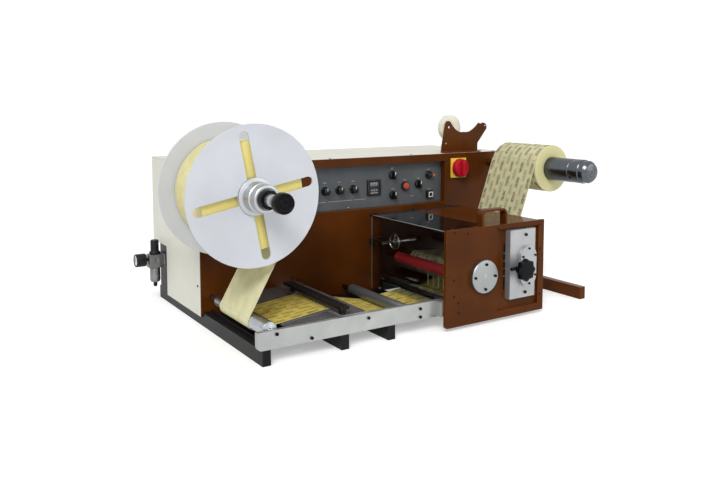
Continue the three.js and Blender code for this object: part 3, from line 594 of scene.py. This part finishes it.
def block(name, x0, x1, y0, y1, z0, z1, edge_mm):
    """A rectangular piece, its edges broken unless edge_mm is 0."""
    low, high = at(x0, y0, z0), at(x1, y1, z1)
    piece = begin(bpy.ops.mesh.primitive_cube_add, size=1, location=(low + high) / 2, scale=high - low)
    settle(piece, name)
    if edge_mm:
        break_edges(piece, edge_mm)
    return piece


def joined(name, pieces):
    """Several pieces made one object."""
    clear_selection()
    for piece in pieces:
        piece.select_set(True)
    bpy.context.view_layer.objects.active = pieces[0]
    bpy.ops.object.join()
    pieces[0].name = name
    pieces[0].data.name = name
    return pieces[0]


def copied(name, pattern, matrices):
    """A copy of the pattern at each matrix, all as one object."""
    copies = []
    for matrix in matrices:
        copy = bpy.data.objects.new(name, pattern.data.copy())
        bpy.context.scene.collection.objects.link(copy)
        copy.data.transform(matrix)
        copies.append(copy)
    return joined(name, copies)


def pick_faces(piece, chosen):
    """In edit mode, selects the faces that are chosen and no others."""
    bpy.ops.mesh.select_all(action="DESELECT")
    mesh = bmesh.from_edit_mesh(piece.data)
    for face in [face for face in mesh.faces if chosen(face)]:
        face.select_set(True)
    mesh.select_flush_mode()
    bmesh.update_edit_mesh(piece.data)


# Screws: one of each kind is modelled and copied to every hole


def screw_head(name, radius, height, insets, pit, edge_mm):
    """A head on the origin, towards +Z: insets go so far in and up, and the last face sinks by the pit."""
    piece = begin(bpy.ops.mesh.primitive_cylinder_add, vertices=24, radius=radius * MM, depth=height * MM,
                  location=(0, 0, height * MM / 2))
    pick_faces(piece, lambda face: face.normal.z > 0.9)
    for inwards, upwards in insets:
        bpy.ops.mesh.inset(thickness=inwards * MM, depth=upwards * MM)
    extrude((0, 0, -pit))
    settle(piece, name)
    break_edges(piece, edge_mm)
    return piece


TOWARDS = {
    "front": Matrix.Rotation(math.radians(90), 4, "X"),
    "left": Matrix.Rotation(math.radians(-90), 4, "Y"),
    "up": Matrix.Identity(4),
}


def set_screws(pattern, name, places, towards, material, slot, size):
    """Sets a screw at each place in the casing, its head towards one side."""
    turned = TOWARDS[towards] @ Matrix.Scale(size, 4)
    screws = copied(name, pattern, [Matrix.Translation(at(*place)) @ turned for place in places])
    fit(screws, "casing", material)


# Turned pieces: rollers, shafts, reel parts. The places are those of the solids that they stand for

IDLER, IDLER_RADIUS = (31, 80.6), 20
TABLE_ROLLER, TABLE_ROLLER_RADIUS = (461, 51), 16.5
NIP, NIP_RADIUS = (620.3, 137), 15.5
PULL, PULL_RADIUS = (656.5, 139.5), 19.5
TURNING_BAR, TURNING_BAR_RADIUS = (668, 74), 15
GUIDE, GUIDE_RADIUS = (868, 161), 20
TIE_BAR, TIE_BAR_RADIUS = (600, 58), 9
SLOT_EDGE, SLOT_EDGE_RADIUS = (236, 79), 3
UPPER_KNIFE = (813, 173.2)
LOWER_KNIFE = (813, 117.5)

# Drawn aluminium tube, turned: pale, with fine bright rings
aluminium_tube = turned_metal("aluminium_tube", IDLER, "#9EA3A9", "#BDC1C6", 0.24)
# Ground shaft steel: mid grey, half dull
shaft_steel = turned_metal("shaft_steel", TABLE_ROLLER, "#6E7377", "#8A8F93", 0.3, metallic=0.7)
# Hardened steel, polished: dark, with clear reflections
dark_steel = turned_metal("dark_steel", PULL, "#3C4044", "#54585C", 0.22)
# Tool steel, lapped: the clearest mirror of the steels
knife_steel = turned_metal("knife_steel", UPPER_KNIFE, "#6E7378", "#8A8F94", 0.16)
# Aluminium as it came off the lathe: pale and dull, with rings that can be seen
hub_aluminium = turned_metal("hub_aluminium", REWIND, "#AEB1B4", "#C6C8CA", 0.42, 2.2, 0.1)
cover_aluminium = turned_metal("cover_aluminium", PULL, "#989C9C", "#A4A8A8", 0.38, 1.6, 0.12)
# Chrome plate over turned steel: its colour painted dark, a painted reflection of a dark room
mandrel_chrome_painted_dark = turned_metal("mandrel_chrome_painted_dark", UNWIND, "#4C5054", "#6C7074", 0.24, 2.6, 0.05)


def recolour(piece, material, chosen):
    """Gives a second material to the faces whose middle, in the drawing's millimetres, is chosen."""
    piece.data.materials.append(material)
    for face in piece.data.polygons:
        if chosen((face.center - at(0, 0, 0)) / MM):
            face.material_index = 1


# A shoulder is this long, so that its rim and its foot don't fall together
SHOULDER = 0.001


def roller(name, centre, radius, journal, front, back, ends, material, body, slot):
    """A roller with its end edges broken by 1 mm, on two journals that reach to the ends."""
    piece = fit(turn(name + "_turned", "Y", centre, [
        (journal, ends[0]), (journal, front - 1), (radius - 1, front - 1 + SHOULDER), (radius, front + 1),
        (radius, back - 1), (radius - 1, back), (journal, back + SHOULDER), (journal, ends[1]),
    ], 72), body, material, [name])
    recolour(piece, dark_steel, lambda place: math.dist((place.x, place.z), centre) < journal + 0.5)


STATION_BODY = (-399, -20)
STATION_ENDS = (-413, -4)
fit(turn("idler_roller_turned", "Y", IDLER, [
    (6, -375), (6, -366), (19, -366 + SHOULDER), (IDLER_RADIUS, -364), (IDLER_RADIUS, -106), (19, -105),
    (16, -105 + SHOULDER), (16, -59), (15, -58), (8, -58 + SHOULDER), (8, -1),
], 72), "idler", aluminium_tube, ["idler_roller"])
roller("table_roller", TABLE_ROLLER, TABLE_ROLLER_RADIUS, 6, -365, -50, (-375, -1), shaft_steel,
       "table_return", "polished_steel")
roller("nip_roller", NIP, NIP_RADIUS, 6, -399, -70, STATION_ENDS, nitrile, "nip", "red_rubber")
roller("pull_roller", PULL, PULL_RADIUS, 8, *STATION_BODY, STATION_ENDS, dark_steel, "pull", "polished_steel")
fit(turn("turning_bar_sleeve", "Y", TURNING_BAR, [(15.02, -398), (15.2, -398), (15.2, -24), (15.02, -24)], 72,
         ring=True, edge_mm=0), "casing", dark_steel)
roller("guide_roller", GUIDE, GUIDE_RADIUS, 8, *STATION_BODY, STATION_ENDS, aluminium_tube, "guide",
       "machined_aluminium")

KNIVES = 4
KNIFE_PITCH = 55


def knife_shaft(name, centre, disc_width, first_y, body, bevel_mm):
    """A shaft with four cutting discs, their rims ground to an edge on one side."""
    profile = [(8, -413), (8, -399), (14, -399)]
    for y in [first_y + KNIFE_PITCH * i for i in range(KNIVES)]:
        profile += [(14, y), (26, y), (27, y + bevel_mm), (27, y + disc_width - 0.4), (26.6, y + disc_width),
                    (14, y + disc_width)]
    profile += [(14, -20), (8, -20), (8, -4)]
    piece = turn(name + "_ground", "Y", centre, profile, edge_mm=0)
    shade(piece, 30)
    fit(piece, body, knife_steel, [name])


knife_shaft("upper_knife_shaft", UPPER_KNIFE, 4, -290, "upper_knives", 2.0)
knife_shaft("lower_knife_shaft", LOWER_KNIFE, 26, -313, "lower_knives", 0.5)

fit(turn("rewind_shaft_turned", "Y", REWIND, [
    (10.5, -372), (12, -370.5), (12, -60), (15, -60), (15, 108),
], 48), "reel", shaft_steel, ["rewind_shaft"])
fit(turn("rewind_roll_wound", "Y", REWIND, [
    (12.3, WEB_FRONT), (REWIND_ROLL_RADIUS, WEB_FRONT), (REWIND_ROLL_RADIUS, WEB_BACK), (12.3, WEB_BACK),
], 128, ring=True, edge_mm=0.5), "reel", rewound_roll, ["rewind_roll"])
fit(turn("unwind_roll_wound", "Y", UNWIND, [
    (36.8, WEB_FRONT), (UNWIND_ROLL_RADIUS, WEB_FRONT), (UNWIND_ROLL_RADIUS, UNWIND_BACK),
    (36.8, UNWIND_BACK),
], 112, ring=True, edge_mm=0.5), "unwind", printed_roll, ["unwind_roll"])
mandrel = fit(turn("mandrel_turned", "Y", UNWIND, [
    (25.5, -446), (27, -445), (34, -436), (34, -420), (36.5, -418), (36.5, -386), (35.5, -385), (35.5, -381),
    (36.5, -380), (36.5, -91), (52, -91), (52, -82), (12, -80), (12, 138),
], 80, edge_mm=0.3), "unwind", mandrel_chrome_painted_dark, ["unwind_mandrel"])
recolour(mandrel, brown_enamel, lambda place: place.y > -80)
fit(turn("reel_hub_turned", "Y", REWIND, [
    (12.3, -298.3), (46, -298.3), (46, -304.3), (37, -306.3), (37, -338.3), (34, -340.3), (34, -364.3),
    (31, -366.3), (26, -366.3), (26, -362.3), (12.3, -362.3),
], 80, ring=True, edge_mm=0.5), "reel", hub_aluminium, ["reel_hub"])
fit(joined("clamp_knob_turned", [
    turn("clamp_ring", "Y", REWIND, [(22.5, -372.4), (22.5, -378), (15.2, -379)], 72),
    turn("clamp_head", "Y", REWIND, [
        (15.2, -427.5), (23, -430), (24.7, -434), (24.7, -452), (23.2, -456), (20.5, -456.6), (18.5, -453.5),
        (12, -452.5), (11, -453.6), (6.5, -453.6), (5.5, -452),
    ], 72),
]), "reel_clamp", grooved_phenolic, ["clamp_knob"])
fit(turn("clamp_knob_neck", "Y", REWIND, [
    (14.8, -378), (14.8, -402), (14.2, -403), (14.2, -405), (14.8, -406), (14.8, -428),
], edge_mm=0.2), "reel_clamp", hub_aluminium)
fit(turn("tape_roll_wound", "Y", TAPE, [
    (6.4, 34.5), (41.5, 34.5), (43, 35.5), (43, 51), (41.5, 52), (6.4, 52),
], 96, ring=True), "tape", tape_film, ["tape_roll"])
fit(turn("bearing_cover_turned", "Y", PULL, [(46.5, -415.3), (46.5, -427), (44.5, -429)], 80, edge_mm=0.5),
    "casing", cover_aluminium, ["bearing_cover"])

# Web: one band round directed circles, drawn as a strip of faces and thickened. Its points are x + z j.
# It keeps a clearance from what it passes, and points nearer than SAME_POINT are one

WEB_CLEARANCE = 0.3
ARC_STEP = math.radians(4)
SAME_POINT = 0.05


def wheel(centre, radius, direction):
    """A circle that the web passes: its middle, and its reach, negative where the web goes clockwise."""
    return complex(*centre), direction * (radius + WEB_CLEARANCE + WEB_THICKNESS / 2)


def tangent(first, second):
    """Where the straight web leaves the first circle and where it meets the second."""
    (start, start_reach), (end, end_reach) = first, second
    angle = cmath.phase(end - start) - math.asin((end_reach - start_reach) / abs(end - start))
    normal = cmath.rect(1, angle) * 1j
    return start - start_reach * normal, end - end_reach * normal


def arc(circle, start, end):
    """The web's way round a circle between two of its points."""
    middle, reach = circle
    first = cmath.phase(start - middle)
    sweep = cmath.phase(end - middle) - first
    if reach * sweep < 0:
        sweep += math.copysign(2 * math.pi, reach)
    steps = max(1, math.ceil(abs(sweep) / ARC_STEP))
    return [middle + cmath.rect(abs(reach), first + sweep * i / steps) for i in range(steps + 1)]


def clear_of(start, end):
    """The start moved towards the end by the web's clearance."""
    return start + (end - start) * WEB_CLEARANCE / abs(end - start)


def draw_strip(name, path, back):
    """Faces along a path, from the web's front edge to its back one."""
    piece = begin(bpy.ops.mesh.primitive_plane_add, size=1, location=(0, 0, 0))
    bpy.ops.mesh.select_all(action="DESELECT")
    mesh = bmesh.from_edit_mesh(piece.data)
    bmesh.ops.delete(mesh, geom=[vert for vert in mesh.verts if vert.co.x > 0], context="VERTS")
    for vert in mesh.verts:
        vert.co = at(path[0].real, WEB_FRONT if vert.co.y < 0 else back, path[0].imag)
        vert.select = True
    mesh.select_flush_mode()
    for edge in mesh.edges:
        edge.select = True
    bmesh.update_edit_mesh(piece.data)
    for before, after in pairwise(path):
        extrude(((after - before).real, 0, (after - before).imag))
    return close(piece, name)


def map_strip(piece, path, run_start):
    """Writes the UV map, in millimetres along and across the web, and returns the run at the path's end."""
    runs = [run_start]
    for before, after in pairwise(path):
        runs.append(runs[-1] + abs(after - before))
    stations = [at(point.real, 0, point.imag) for point in path]
    uv = piece.data.uv_layers.new(name="web_mm")
    front = at(0, WEB_FRONT, 0).y
    for loop in piece.data.loops:
        place = piece.data.vertices[loop.vertex_index].co
        distances = [(place.x - s.x) ** 2 + (place.z - s.z) ** 2 for s in stations]
        uv.data[loop.index].uv = (runs[distances.index(min(distances))], (place.y - front) / MM)
    return runs[-1]


def web_strip(name, path, run_start, printed, node, back=WEB_BACK):
    """A stretch of the web, printed on the side away from the winding; returns the run at its end."""
    piece = draw_strip(name, path, back)
    run_end = map_strip(piece, path, run_start)
    direction = Vector(((path[1] - path[0]).real, 0, (path[1] - path[0]).imag))
    if piece.data.polygons[0].normal.dot(direction.cross(Vector((0, 1, 0)))) > 0:
        piece.data.flip_normals()
    piece.data.materials.clear()
    for paper in (printed, plain_web):
        piece.data.materials.append(paper)
    apply_modifier(piece, "SOLIDIFY", thickness=WEB_THICKNESS * MM, offset=0.0, material_offset=1,
                   material_offset_rim=1)
    shade(piece, 40)
    fit(piece, "casing", None, [node])
    return run_end


unwind_circle = wheel(UNWIND, UNWIND_ROLL_RADIUS, 1)
rewind_circle = wheel(REWIND, REWIND_ROLL_RADIUS, 1)
run_circles = [
    wheel(GUIDE, GUIDE_RADIUS, -1), wheel(PULL, PULL_RADIUS, 1), wheel(TURNING_BAR, TURNING_BAR_RADIUS, -1),
    wheel(TIE_BAR, TIE_BAR_RADIUS, -1), wheel(TABLE_ROLLER, TABLE_ROLLER_RADIUS, -1),
    wheel(SLOT_EDGE, SLOT_EDGE_RADIUS, 1), wheel(IDLER, IDLER_RADIUS, -1),
]
feed = tangent(unwind_circle, run_circles[0])
take_up = tangent(run_circles[-1], rewind_circle)
run_path = []
entry = feed[1]
for circle, follower in pairwise([*run_circles, rewind_circle]):
    leave = tangent(circle, follower)
    run_path += arc(circle, entry, leave[0])
    entry = leave[1]
run_path = [p for i, p in enumerate(run_path) if i == 0 or abs(p - run_path[i - 1]) > SAME_POINT]
run_end = web_strip("web_unwind_span_strip", [feed[0], clear_of(feed[1], feed[0])], 0.0, printed_web,
                    "web_unwind_span", UNWIND_BACK)
run_end = web_strip("web_run_strip", run_path, run_end, yellow_web, "web_run")
web_strip("web_rewind_span_strip", [clear_of(*take_up), take_up[1]], run_end, yellow_web,
          "web_rewind_span")

# Controls on the recessed plate

CONTROL_BACK = 20.7
DIAL_Z = 347
DIALS = {"speed": 408, "rewind_tension": 459, "unwind_tension": 510}


def raised_line(name, x0, x1, y0, y1, z0, z1):
    """A fine line, tip or bar, its edges barely broken."""
    return block(name, x0, x1, y0, y1, z0, z1, 0.15)


for body, x in DIALS.items():
    name = body + "_dial"
    knob = turn(name + "_knob", "Y", (x, DIAL_Z), [
        (14, CONTROL_BACK), (14, CONTROL_BACK - 2.6), (12.2, CONTROL_BACK - 3.4), (11.4, CONTROL_BACK - 17),
        (10.2, CONTROL_BACK - 18.4),
    ], 48, edge_mm=0.3)
    fit(knob, body, black_phenolic, [name])
    line = raised_line(name + "_line", x - 0.9, x + 0.9, 1.9, 4.0, DIAL_Z + 1.5, DIAL_Z + 10)
    fit(line, body, white_insert)

# Eleven ticks are printed round each dial
tick = block("tick", -0.4, 0.4, 0, 0.3, 16.4, 18.6, 0.08)
tick.data.transform(Matrix.Translation(-at(0, 0, 0)))
fit(copied("dial_marks", tick, [
    Matrix.Translation(at(x, CONTROL_BACK - 0.2, DIAL_Z)) @ Matrix.Rotation(math.radians(angle), 4, "Y")
    for x in DIALS.values() for angle in range(-150, 151, 30)
]), "casing", grey_legend)
bpy.data.objects.remove(tick)

HALF_LEVER = (12.5, 3.6)
for body, x, z, upright in [("power", 660, 383, True), ("direction", 662, 318, True),
                            ("mode", 764, 348, True), ("counter", 808, 376, False)]:
    name = body + "_selector"
    half_x, half_z = reversed(HALF_LEVER) if upright else HALF_LEVER
    steps = [(13.5, CONTROL_BACK), (13.5, 15.6), (12.4, 14)]
    disc = turn(name + "_disc", "Y", (x, z), steps, 48, edge_mm=0.3)
    lever = block(name + "_lever", x - half_x, x + half_x, 2.6, 15, z - half_z, z + half_z, 1.4)
    fit(joined(name + "_knob", [disc, lever]), body, black_phenolic, [name])
    if upright:
        tip = raised_line(name + "_tip", x - 1.2, x + 1.2, 2.2, 4.0, z + 1, z + 11)
        fit(tip, body, white_insert)
    else:
        tip = raised_line(name + "_tip", x + 4, x + 12.8, 2.2, 12.0, z - 3.9, z + 3.9)
        fit(tip, body, orange_pointer)

# Plain bars and rules stand where legends are printed
INK_DEPTH = (CONTROL_BACK - 0.3, CONTROL_BACK + 0.1)
bars = [raised_line("legend_bar", x - 6, x + 6, *INK_DEPTH, z, z + 1.8) for x, z in [
    (408, 371), (459, 371), (510, 371), (660, 401), (660, 405), (662, 337), (710, 363), (764, 366),
    (808, 394), (810, 328), (740, 309)]]
bars += [raised_line("legend_rule", x0, x1, *INK_DEPTH, 312, 313.4)
         for x0, x1 in ((380, 412), (420, 506), (512, 556))]
fit(joined("legend_bars", bars), "casing", grey_legend)

STEM = [(4, 15.7), (4, 27)]
STOP = (710, 345)
fit(joined("stop_button_cap", [
    turn("stop_cap", "Y", STOP, [(11, 16.7), (11, 10.2), (10, 8.9), (7, 8.0), (6, 7.7)], 56, edge_mm=0.3),
    turn("stop_stem", "Y", STOP, STEM, 24),
]), "stop", red_button_plastic, ["stop_button"])
START = (810, 311)
fit(joined("start_button_cap", [
    block("start_cap", START[0] - 9, START[0] + 9, 9.7, 16.7, START[1] - 9, START[1] + 9, 1.2),
    turn("start_stem", "Y", START, STEM, 24),
]), "start", black_phenolic, ["start_button"])
OUTER, INNER = 8.7, 5.9
fit(joined("start_button_frame", [
    raised_line("frame_" + side, START[0] + x0, START[0] + x1, 9.3, 10.2, START[1] + z0, START[1] + z1)
    for side, x0, x1, z0, z1 in [
        ("low", -OUTER, OUTER, -OUTER, -INNER), ("high", -OUTER, OUTER, INNER, OUTER),
        ("left", -OUTER, -INNER, -INNER, INNER), ("right", INNER, OUTER, -INNER, INNER)]
]), "start", white_insert)

SWITCH = (919, 396)
switch_disc = turn("switch_disc", "Y", SWITCH, [(31, -5.6), (31, -12), (29.5, -21), (28, -23)], edge_mm=0.5)
switch_grip = block("switch_grip", 912, 926, -36, -22, 368, 424, 2.2)
fit(joined("main_switch_handle", [switch_disc, switch_grip]), "main_switch", red_switch_plastic,
    ["main_switch_knob"])
fit(block("main_switch_escutcheon", 884, 950, -5.3, -0.3, 363, 429, 1.2), "casing", yellow_switch_plastic,
    ["main_switch_plate"])


def framed_display():
    """A black bezel round a slightly sunk window."""
    piece = block("counter_display_bezel", 562, 612, 15.7, 20.7, 322, 373, 0)
    bpy.ops.object.mode_set(mode="EDIT")
    pick_faces(piece, lambda face: face.normal.y < -0.9)
    bpy.ops.mesh.inset(thickness=5 * MM)
    extrude((0, 1.4, 0))
    clear_selection()
    break_edges(piece, 0.5)
    return piece


fit(framed_display(), "casing", black_phenolic, ["counter_display"])
WINDOW_FACE = 17.1
fit(raised_line("counter_glass", 570, 604, WINDOW_FACE - 0.2, WINDOW_FACE + 0.2, 350, 365), "casing",
    readout_glass)
readout = [raised_line("readout_" + kind, x, x + width, WINDOW_FACE - front, WINDOW_FACE + back, z0, z1)
           for kind, places, width, front, back, z0, z1 in [
               ("digit", (574, 581, 588, 595), 2.4, 0.45, -0.1, 352.5, 362.5),
               ("key", (576, 585, 594), 5, 0.3, 0.1, 337, 341), ("rule", (573,), 28, 0.3, 0.1, 329, 331.2)]
           for x in places]
fit(joined("counter_readout", readout), "casing", grey_legend)

# The slot beside the sliding block, its shade painted as a thin black strip, with the ends of its keeper screws

SLOT_FACE = -406.4
fit(raised_line("slide_slot_painted_shade", 742.6, 749.4, SLOT_FACE, SLOT_FACE + 0.3, 86, 219), "casing", grooved_phenolic)
fit(joined("slide_keepers", [
    raised_line("slide_keeper", 743.4, 748.6, SLOT_FACE - 0.8, SLOT_FACE, z, z + 3)
    for z in (124, 146, 168, 190)
]), "casing", zinc_casting)

# Engagement knob: eight smooth lobes, a neck and the locking lever

LOBES = 8
GRIP_RADIUS = 37.5
VALLEY = 0.64


def star_knob():
    """A ring of points, every second one drawn in to a valley and the whole rounded by subdivision."""
    x, z = 776, 150
    back = at(x, -453, z)
    piece = begin(bpy.ops.mesh.primitive_circle_add, vertices=2 * LOBES, radius=GRIP_RADIUS * MM, location=back,
                  rotation=(math.pi / 2, 0, 0), fill_type="NGON")
    bpy.ops.mesh.select_all(action="DESELECT")
    mesh = bmesh.from_edit_mesh(piece.data)
    for vert in mesh.verts:
        number = round(math.atan2(vert.co.y, vert.co.x) / math.pi * LOBES)
        vert.select = number % 2 == 1
    mesh.select_flush_mode()
    bmesh.update_edit_mesh(piece.data)
    bpy.ops.transform.resize(value=(VALLEY, 1, VALLEY), center_override=back)
    bpy.ops.mesh.select_all(action="SELECT")
    for depth in (2, 11, 2):
        extrude((0, -depth, 0))
    bpy.ops.mesh.inset(thickness=4 * MM)
    bpy.ops.transform.translate(value=(0, -1.5 * MM, 0))
    bpy.ops.mesh.inset(thickness=6 * MM)
    close(piece, "star_grip")
    apply_modifier(piece, "SUBSURF", levels=2, render_levels=2)
    select_only(piece)
    bpy.ops.object.shade_smooth()
    neck = turn("star_neck", "Y", (x, z), [(5, -426.3), (5, -456)], 32)
    lever = turn("star_lever", "X", (-449, z + 5), [(3.5, 731), (5, 732.5), (5, 776)], 24, edge_mm=0.3)
    return joined("engagement_knob_star", [piece, neck, lever])


fit(star_knob(), "engagement", grooved_phenolic, ["engagement_knob"])

# Handwheel of the adjuster

SPINDLE = (-48, 181)
WHEEL_X = 622
wheel_pieces = [
    turn("wheel_rim", "X", SPINDLE, [
        (22.5, WHEEL_X - 1.5), (23.8, WHEEL_X - 3), (26.7, WHEEL_X - 3), (28, WHEEL_X - 1.5),
        (28, WHEEL_X + 1.5), (26.7, WHEEL_X + 3), (23.8, WHEEL_X + 3), (22.5, WHEEL_X + 1.5),
    ], ring=True),
    turn("wheel_hub", "X", SPINDLE, [
        (7, WHEEL_X - 8), (8, WHEEL_X - 7), (8, WHEEL_X + 11), (7, WHEEL_X + 12),
    ], 32),
    turn("wheel_spindle", "X", SPINDLE, [(4, 560), (4, 726)], 24),
    block("wheel_spoke_across", WHEEL_X - 1.5, WHEEL_X + 1.5, -72, -24, 178, 184, 0.8),
    block("wheel_spoke_up", WHEEL_X - 1.5, WHEEL_X + 1.5, -51, -45, 157, 205, 0.8),
]
fit(joined("adjuster_wheel", wheel_pieces), "handwheel", chrome, ["adjuster_handwheel"])

# The light fingers that show under the red roller, on their bar

FINGER_X = 612
fit(turn("finger_bar", "Y", (FINGER_X, 76), [(3, -404.5), (4, -404), (4, -15), (3, -14.5)], 24, edge_mm=0.2),
    "casing", black_oxide)
fit(joined("roller_fingers", [
    turn("finger", "Z", (FINGER_X, y), [(1.8, 78), (1.8, 114), (1.0, 117)], 20, edge_mm=0.2)
    for y in (-232, -256, -280, -304)
]), "casing", anodised_aluminium)

# Air regulator and gauge

AIR_X, AIR_Y, AIR_Z = -24.5, 325, 134.5
regulator_pieces = [
    block("regulator_block", -46.5, -2.5, 307, 343, 109, 150, 2.0),
    block("regulator_pad", -3.5, 4.7, 300, 350, 118, 150, 1.0),
    turn("regulator_port", "Y", (AIR_X, AIR_Z), [
        (11, 306.9), (11, 305.2), (7, 305), (7, 306),
    ], 32, edge_mm=0.2),
    turn("regulator_bowl", "Z", (AIR_X, AIR_Y), [
        (14.5, 110), (15.5, 108), (15.5, 70), (13, 64), (8, 63),
    ], 48),
]
fit(joined("regulator_casting", regulator_pieces), "casing", zinc_casting, ["regulator_body"])
fit(turn("regulator_drain", "Z", (AIR_X, AIR_Y), [(6, 63.2), (6, 52), (4, 48)], 24, edge_mm=0.3), "casing",
    black_nylon)
fit(turn("regulator_cap", "Z", (AIR_X, AIR_Y), [
    (16.5, 150.3), (16.5, 156), (15.5, 158), (13, 159), (12.5, 162), (12.5, 190), (11, 194),
], 56), "air_knob", black_nylon, ["regulator_knob"])
gauge_case = joined("pressure_gauge_case", [
    turn("gauge_neck", "X", (AIR_Y, AIR_Z), [(5, -46.8), (5, -56)], 24),
    turn("gauge_drum", "X", (AIR_Y, AIR_Z), [
        (18.5, -54), (20, -56), (20, -83), (19, -85), (17, -85), (17, -82),
    ], edge_mm=0.3),
])
fit(gauge_case, "casing", black_nylon, ["pressure_gauge"])
fit(turn("gauge_face", "X", (AIR_Y, AIR_Z), [(16.9, -82.1), (16.9, -82.6), (16, -82.9)], 48, edge_mm=0.1),
    "casing", gauge_enamel_white)
fit(joined("gauge_needle", [
    turn("needle_boss", "X", (AIR_Y, AIR_Z), [(2, -82.8), (2, -83.6)], 24, edge_mm=0.1),
    block("needle_pointer", -83.6, -83.1, AIR_Y - 0.6, AIR_Y + 0.6, AIR_Z - 3, AIR_Z + 12, 0.1),
]), "casing", black_nylon)

# Polished cut edges of the guard's clear sheet and of the lid

fit(block("guard_edge", 532.9, 534.6, -50.8, -49.7, 44.2, 267.8, 0.2), "casing", cut_edge)
fit(block("lid_edge", 535.4, 536.4, -403.8, -50.2, 271.2, 273.2, 0.2), "lid", cut_edge)

# Screws on the faces that carry them

# A socket head 10 mm across, and a low domed head whose recess is a small pit
CAP_SCREW = screw_head("cap_screw", 5, 4, [(2.2, 0)], 2.4, 0.5)
PAN_SCREW = screw_head("pan_screw", 4, 1.2, [(1.2, 0.8), (1.5, 0)], 1.0, 0.2)
BLACK = (black_oxide, "black_plastic")
BRIGHT = (chrome, "chrome_plate")
RAIL_FACE = -380
PLATE_FACE = -415
BLOCK_FACE = -426
BOSS_FACE = -436
COVER_FACE = -429
CONTROL_FACE = 21
BRACKET_FACE = 28


def holes(face, *places):
    """The places of screws that are set from the front, on a face at that depth."""
    return [(x, face, z) for x, z in places]


for pattern, name, places, towards, finish, size in [
    (PAN_SCREW, "station_plate_screws", holes(
        PLATE_FACE, (555, 268.6), (602.5, 262.8), (714, 266), (876, 263), (880, 191.6), (881, 57),
        (555.4, 139.4), (556, 95.4), (570.5, 75.4), (572.7, 47.4)), "front", BLACK, 0.8),
    (CAP_SCREW, "rail_screws", holes(
        RAIL_FACE, (43, 73), (137, 47), (302.5, 70), (468, 68), (468.5, 45.5)), "front", BLACK, 0.85),
    (CAP_SCREW, "bearing_block_screws", holes(BLOCK_FACE, (810.3, 242), (810, 75.4)), "front", BLACK, 0.9),
    (CAP_SCREW, "boss_screws", holes(
        BOSS_FACE, (814.6, 203), (791.4, 181), (838.8, 181.8), (816.6, 101.7), (839.1, 124.5),
    ), "front", BLACK, 0.65),
    (CAP_SCREW, "bearing_cover_screws", holes(
        COVER_FACE, (658.8, 173.6), (691.9, 138.5), (619.3, 140.4), (656.3, 104.7)), "front", BLACK, 0.8),
    (PAN_SCREW, "front_panel_screws", holes(0, (282, 98), (302, 92)), "front", BLACK, 0.9),
    (PAN_SCREW, "cover_screws", [(421, 11, 446), (736, 22, 446), (1095, 20, 446)], "up", BLACK, 0.8),
    (PAN_SCREW, "side_screws", [(0, 21.4, 109), (0, 20, 330)], "left", BLACK, 0.9),
    (PAN_SCREW, "control_plate_screws", holes(CONTROL_FACE, (856, 291), (492, 290)), "front", BRIGHT, 0.55),
    (PAN_SCREW, "tape_spindle_bolt", holes(BRACKET_FACE, (898.7, 531.5)), "front", BRIGHT, 1.0),
    (PAN_SCREW, "bracket_bolt_low", holes(BRACKET_FACE, (887, 477)), "front", BRIGHT, 0.6),
    (PAN_SCREW, "bracket_bolt_right", holes(BRACKET_FACE, (1062.6, 535.4)), "front", BRIGHT, 0.6),
]:
    set_screws(pattern, name, places, towards, *finish, size)
for pattern in (CAP_SCREW, PAN_SCREW):
    bpy.data.objects.remove(pattern)

# The small square in the middle of the bearing cover
fit(block("cover_mark", 649.5, 661.5, COVER_FACE - 0.5, COVER_FACE + 0.1, 135.5, 147.5, 0.2), "casing",
    milled_aluminium)

# Floor, background and soft studio light

FLOOR_SIZE = 14
FLOOR_DROP = 0.0005
FLOOR_GLOW = 0.35
AMBIENT = 0.55
WHITE = (1, 1, 1, 1)


def seen(holder):
    """1 to the camera, and in metal and glass; 0 to the rays that light the object."""
    rays = add_node(holder, "LightPath").outputs
    either = (rays["Is Glossy Ray"], rays["Is Transmission Ray"])
    mirrored = add_node(holder, "Math", either, "MAXIMUM")
    return add_node(holder, "Math", (rays["Is Camera Ray"], mirrored), "MAXIMUM")


def studio_floor():
    """Matt backdrop paper, which glows a little so that it shows nearly white and keeps the shadow."""
    clear_selection()
    bpy.ops.mesh.primitive_plane_add(size=FLOOR_SIZE, location=(0, 0, -FLOOR_DROP))
    floor = bpy.context.object
    floor.name = "studio_floor"
    paper, _ = new_material("studio_floor_paper")
    floor.data.materials.append(dress(paper, {
        "Base Color": srgb("#E9E9E8"),
        "Roughness": 0.9,
        "Specular IOR Level": 0.1,
        "Emission Color": WHITE,
        "Emission Strength": add_node(paper, "Math", (seen(paper), FLOOR_GLOW), "MULTIPLY"),
    }))


def studio_world():
    """White where it is seen, and a weaker even light on the object."""
    world = bpy.data.worlds.new("studio")
    bpy.context.scene.world = world
    world.use_nodes = True
    background = world.node_tree.nodes["Background"].inputs
    connect(world, WHITE, background["Color"])
    connect(world, add_node(world, "MapRange", (seen(world), 0, 1, AMBIENT, 1.0)), background["Strength"])


MACHINE = (500, 0, 200)


def sun(name, strength, place, width_deg):
    """A sun that shines from the place to the machine, so many degrees wide."""
    data = bpy.data.lights.new(name, "SUN")
    data.energy = strength
    data.angle = math.radians(width_deg)
    light = bpy.data.objects.new(name, data)
    light.location = at(*place)
    light.rotation_euler = (at(*MACHINE) - at(*place)).to_track_quat("-Z", "Y").to_euler()
    bpy.context.scene.collection.objects.link(light)


studio_floor()
studio_world()
sun("key", 2.0, (-900, -1500, 2000), 25)
sun("fill", 0.5, (1800, -1600, 900), 40)
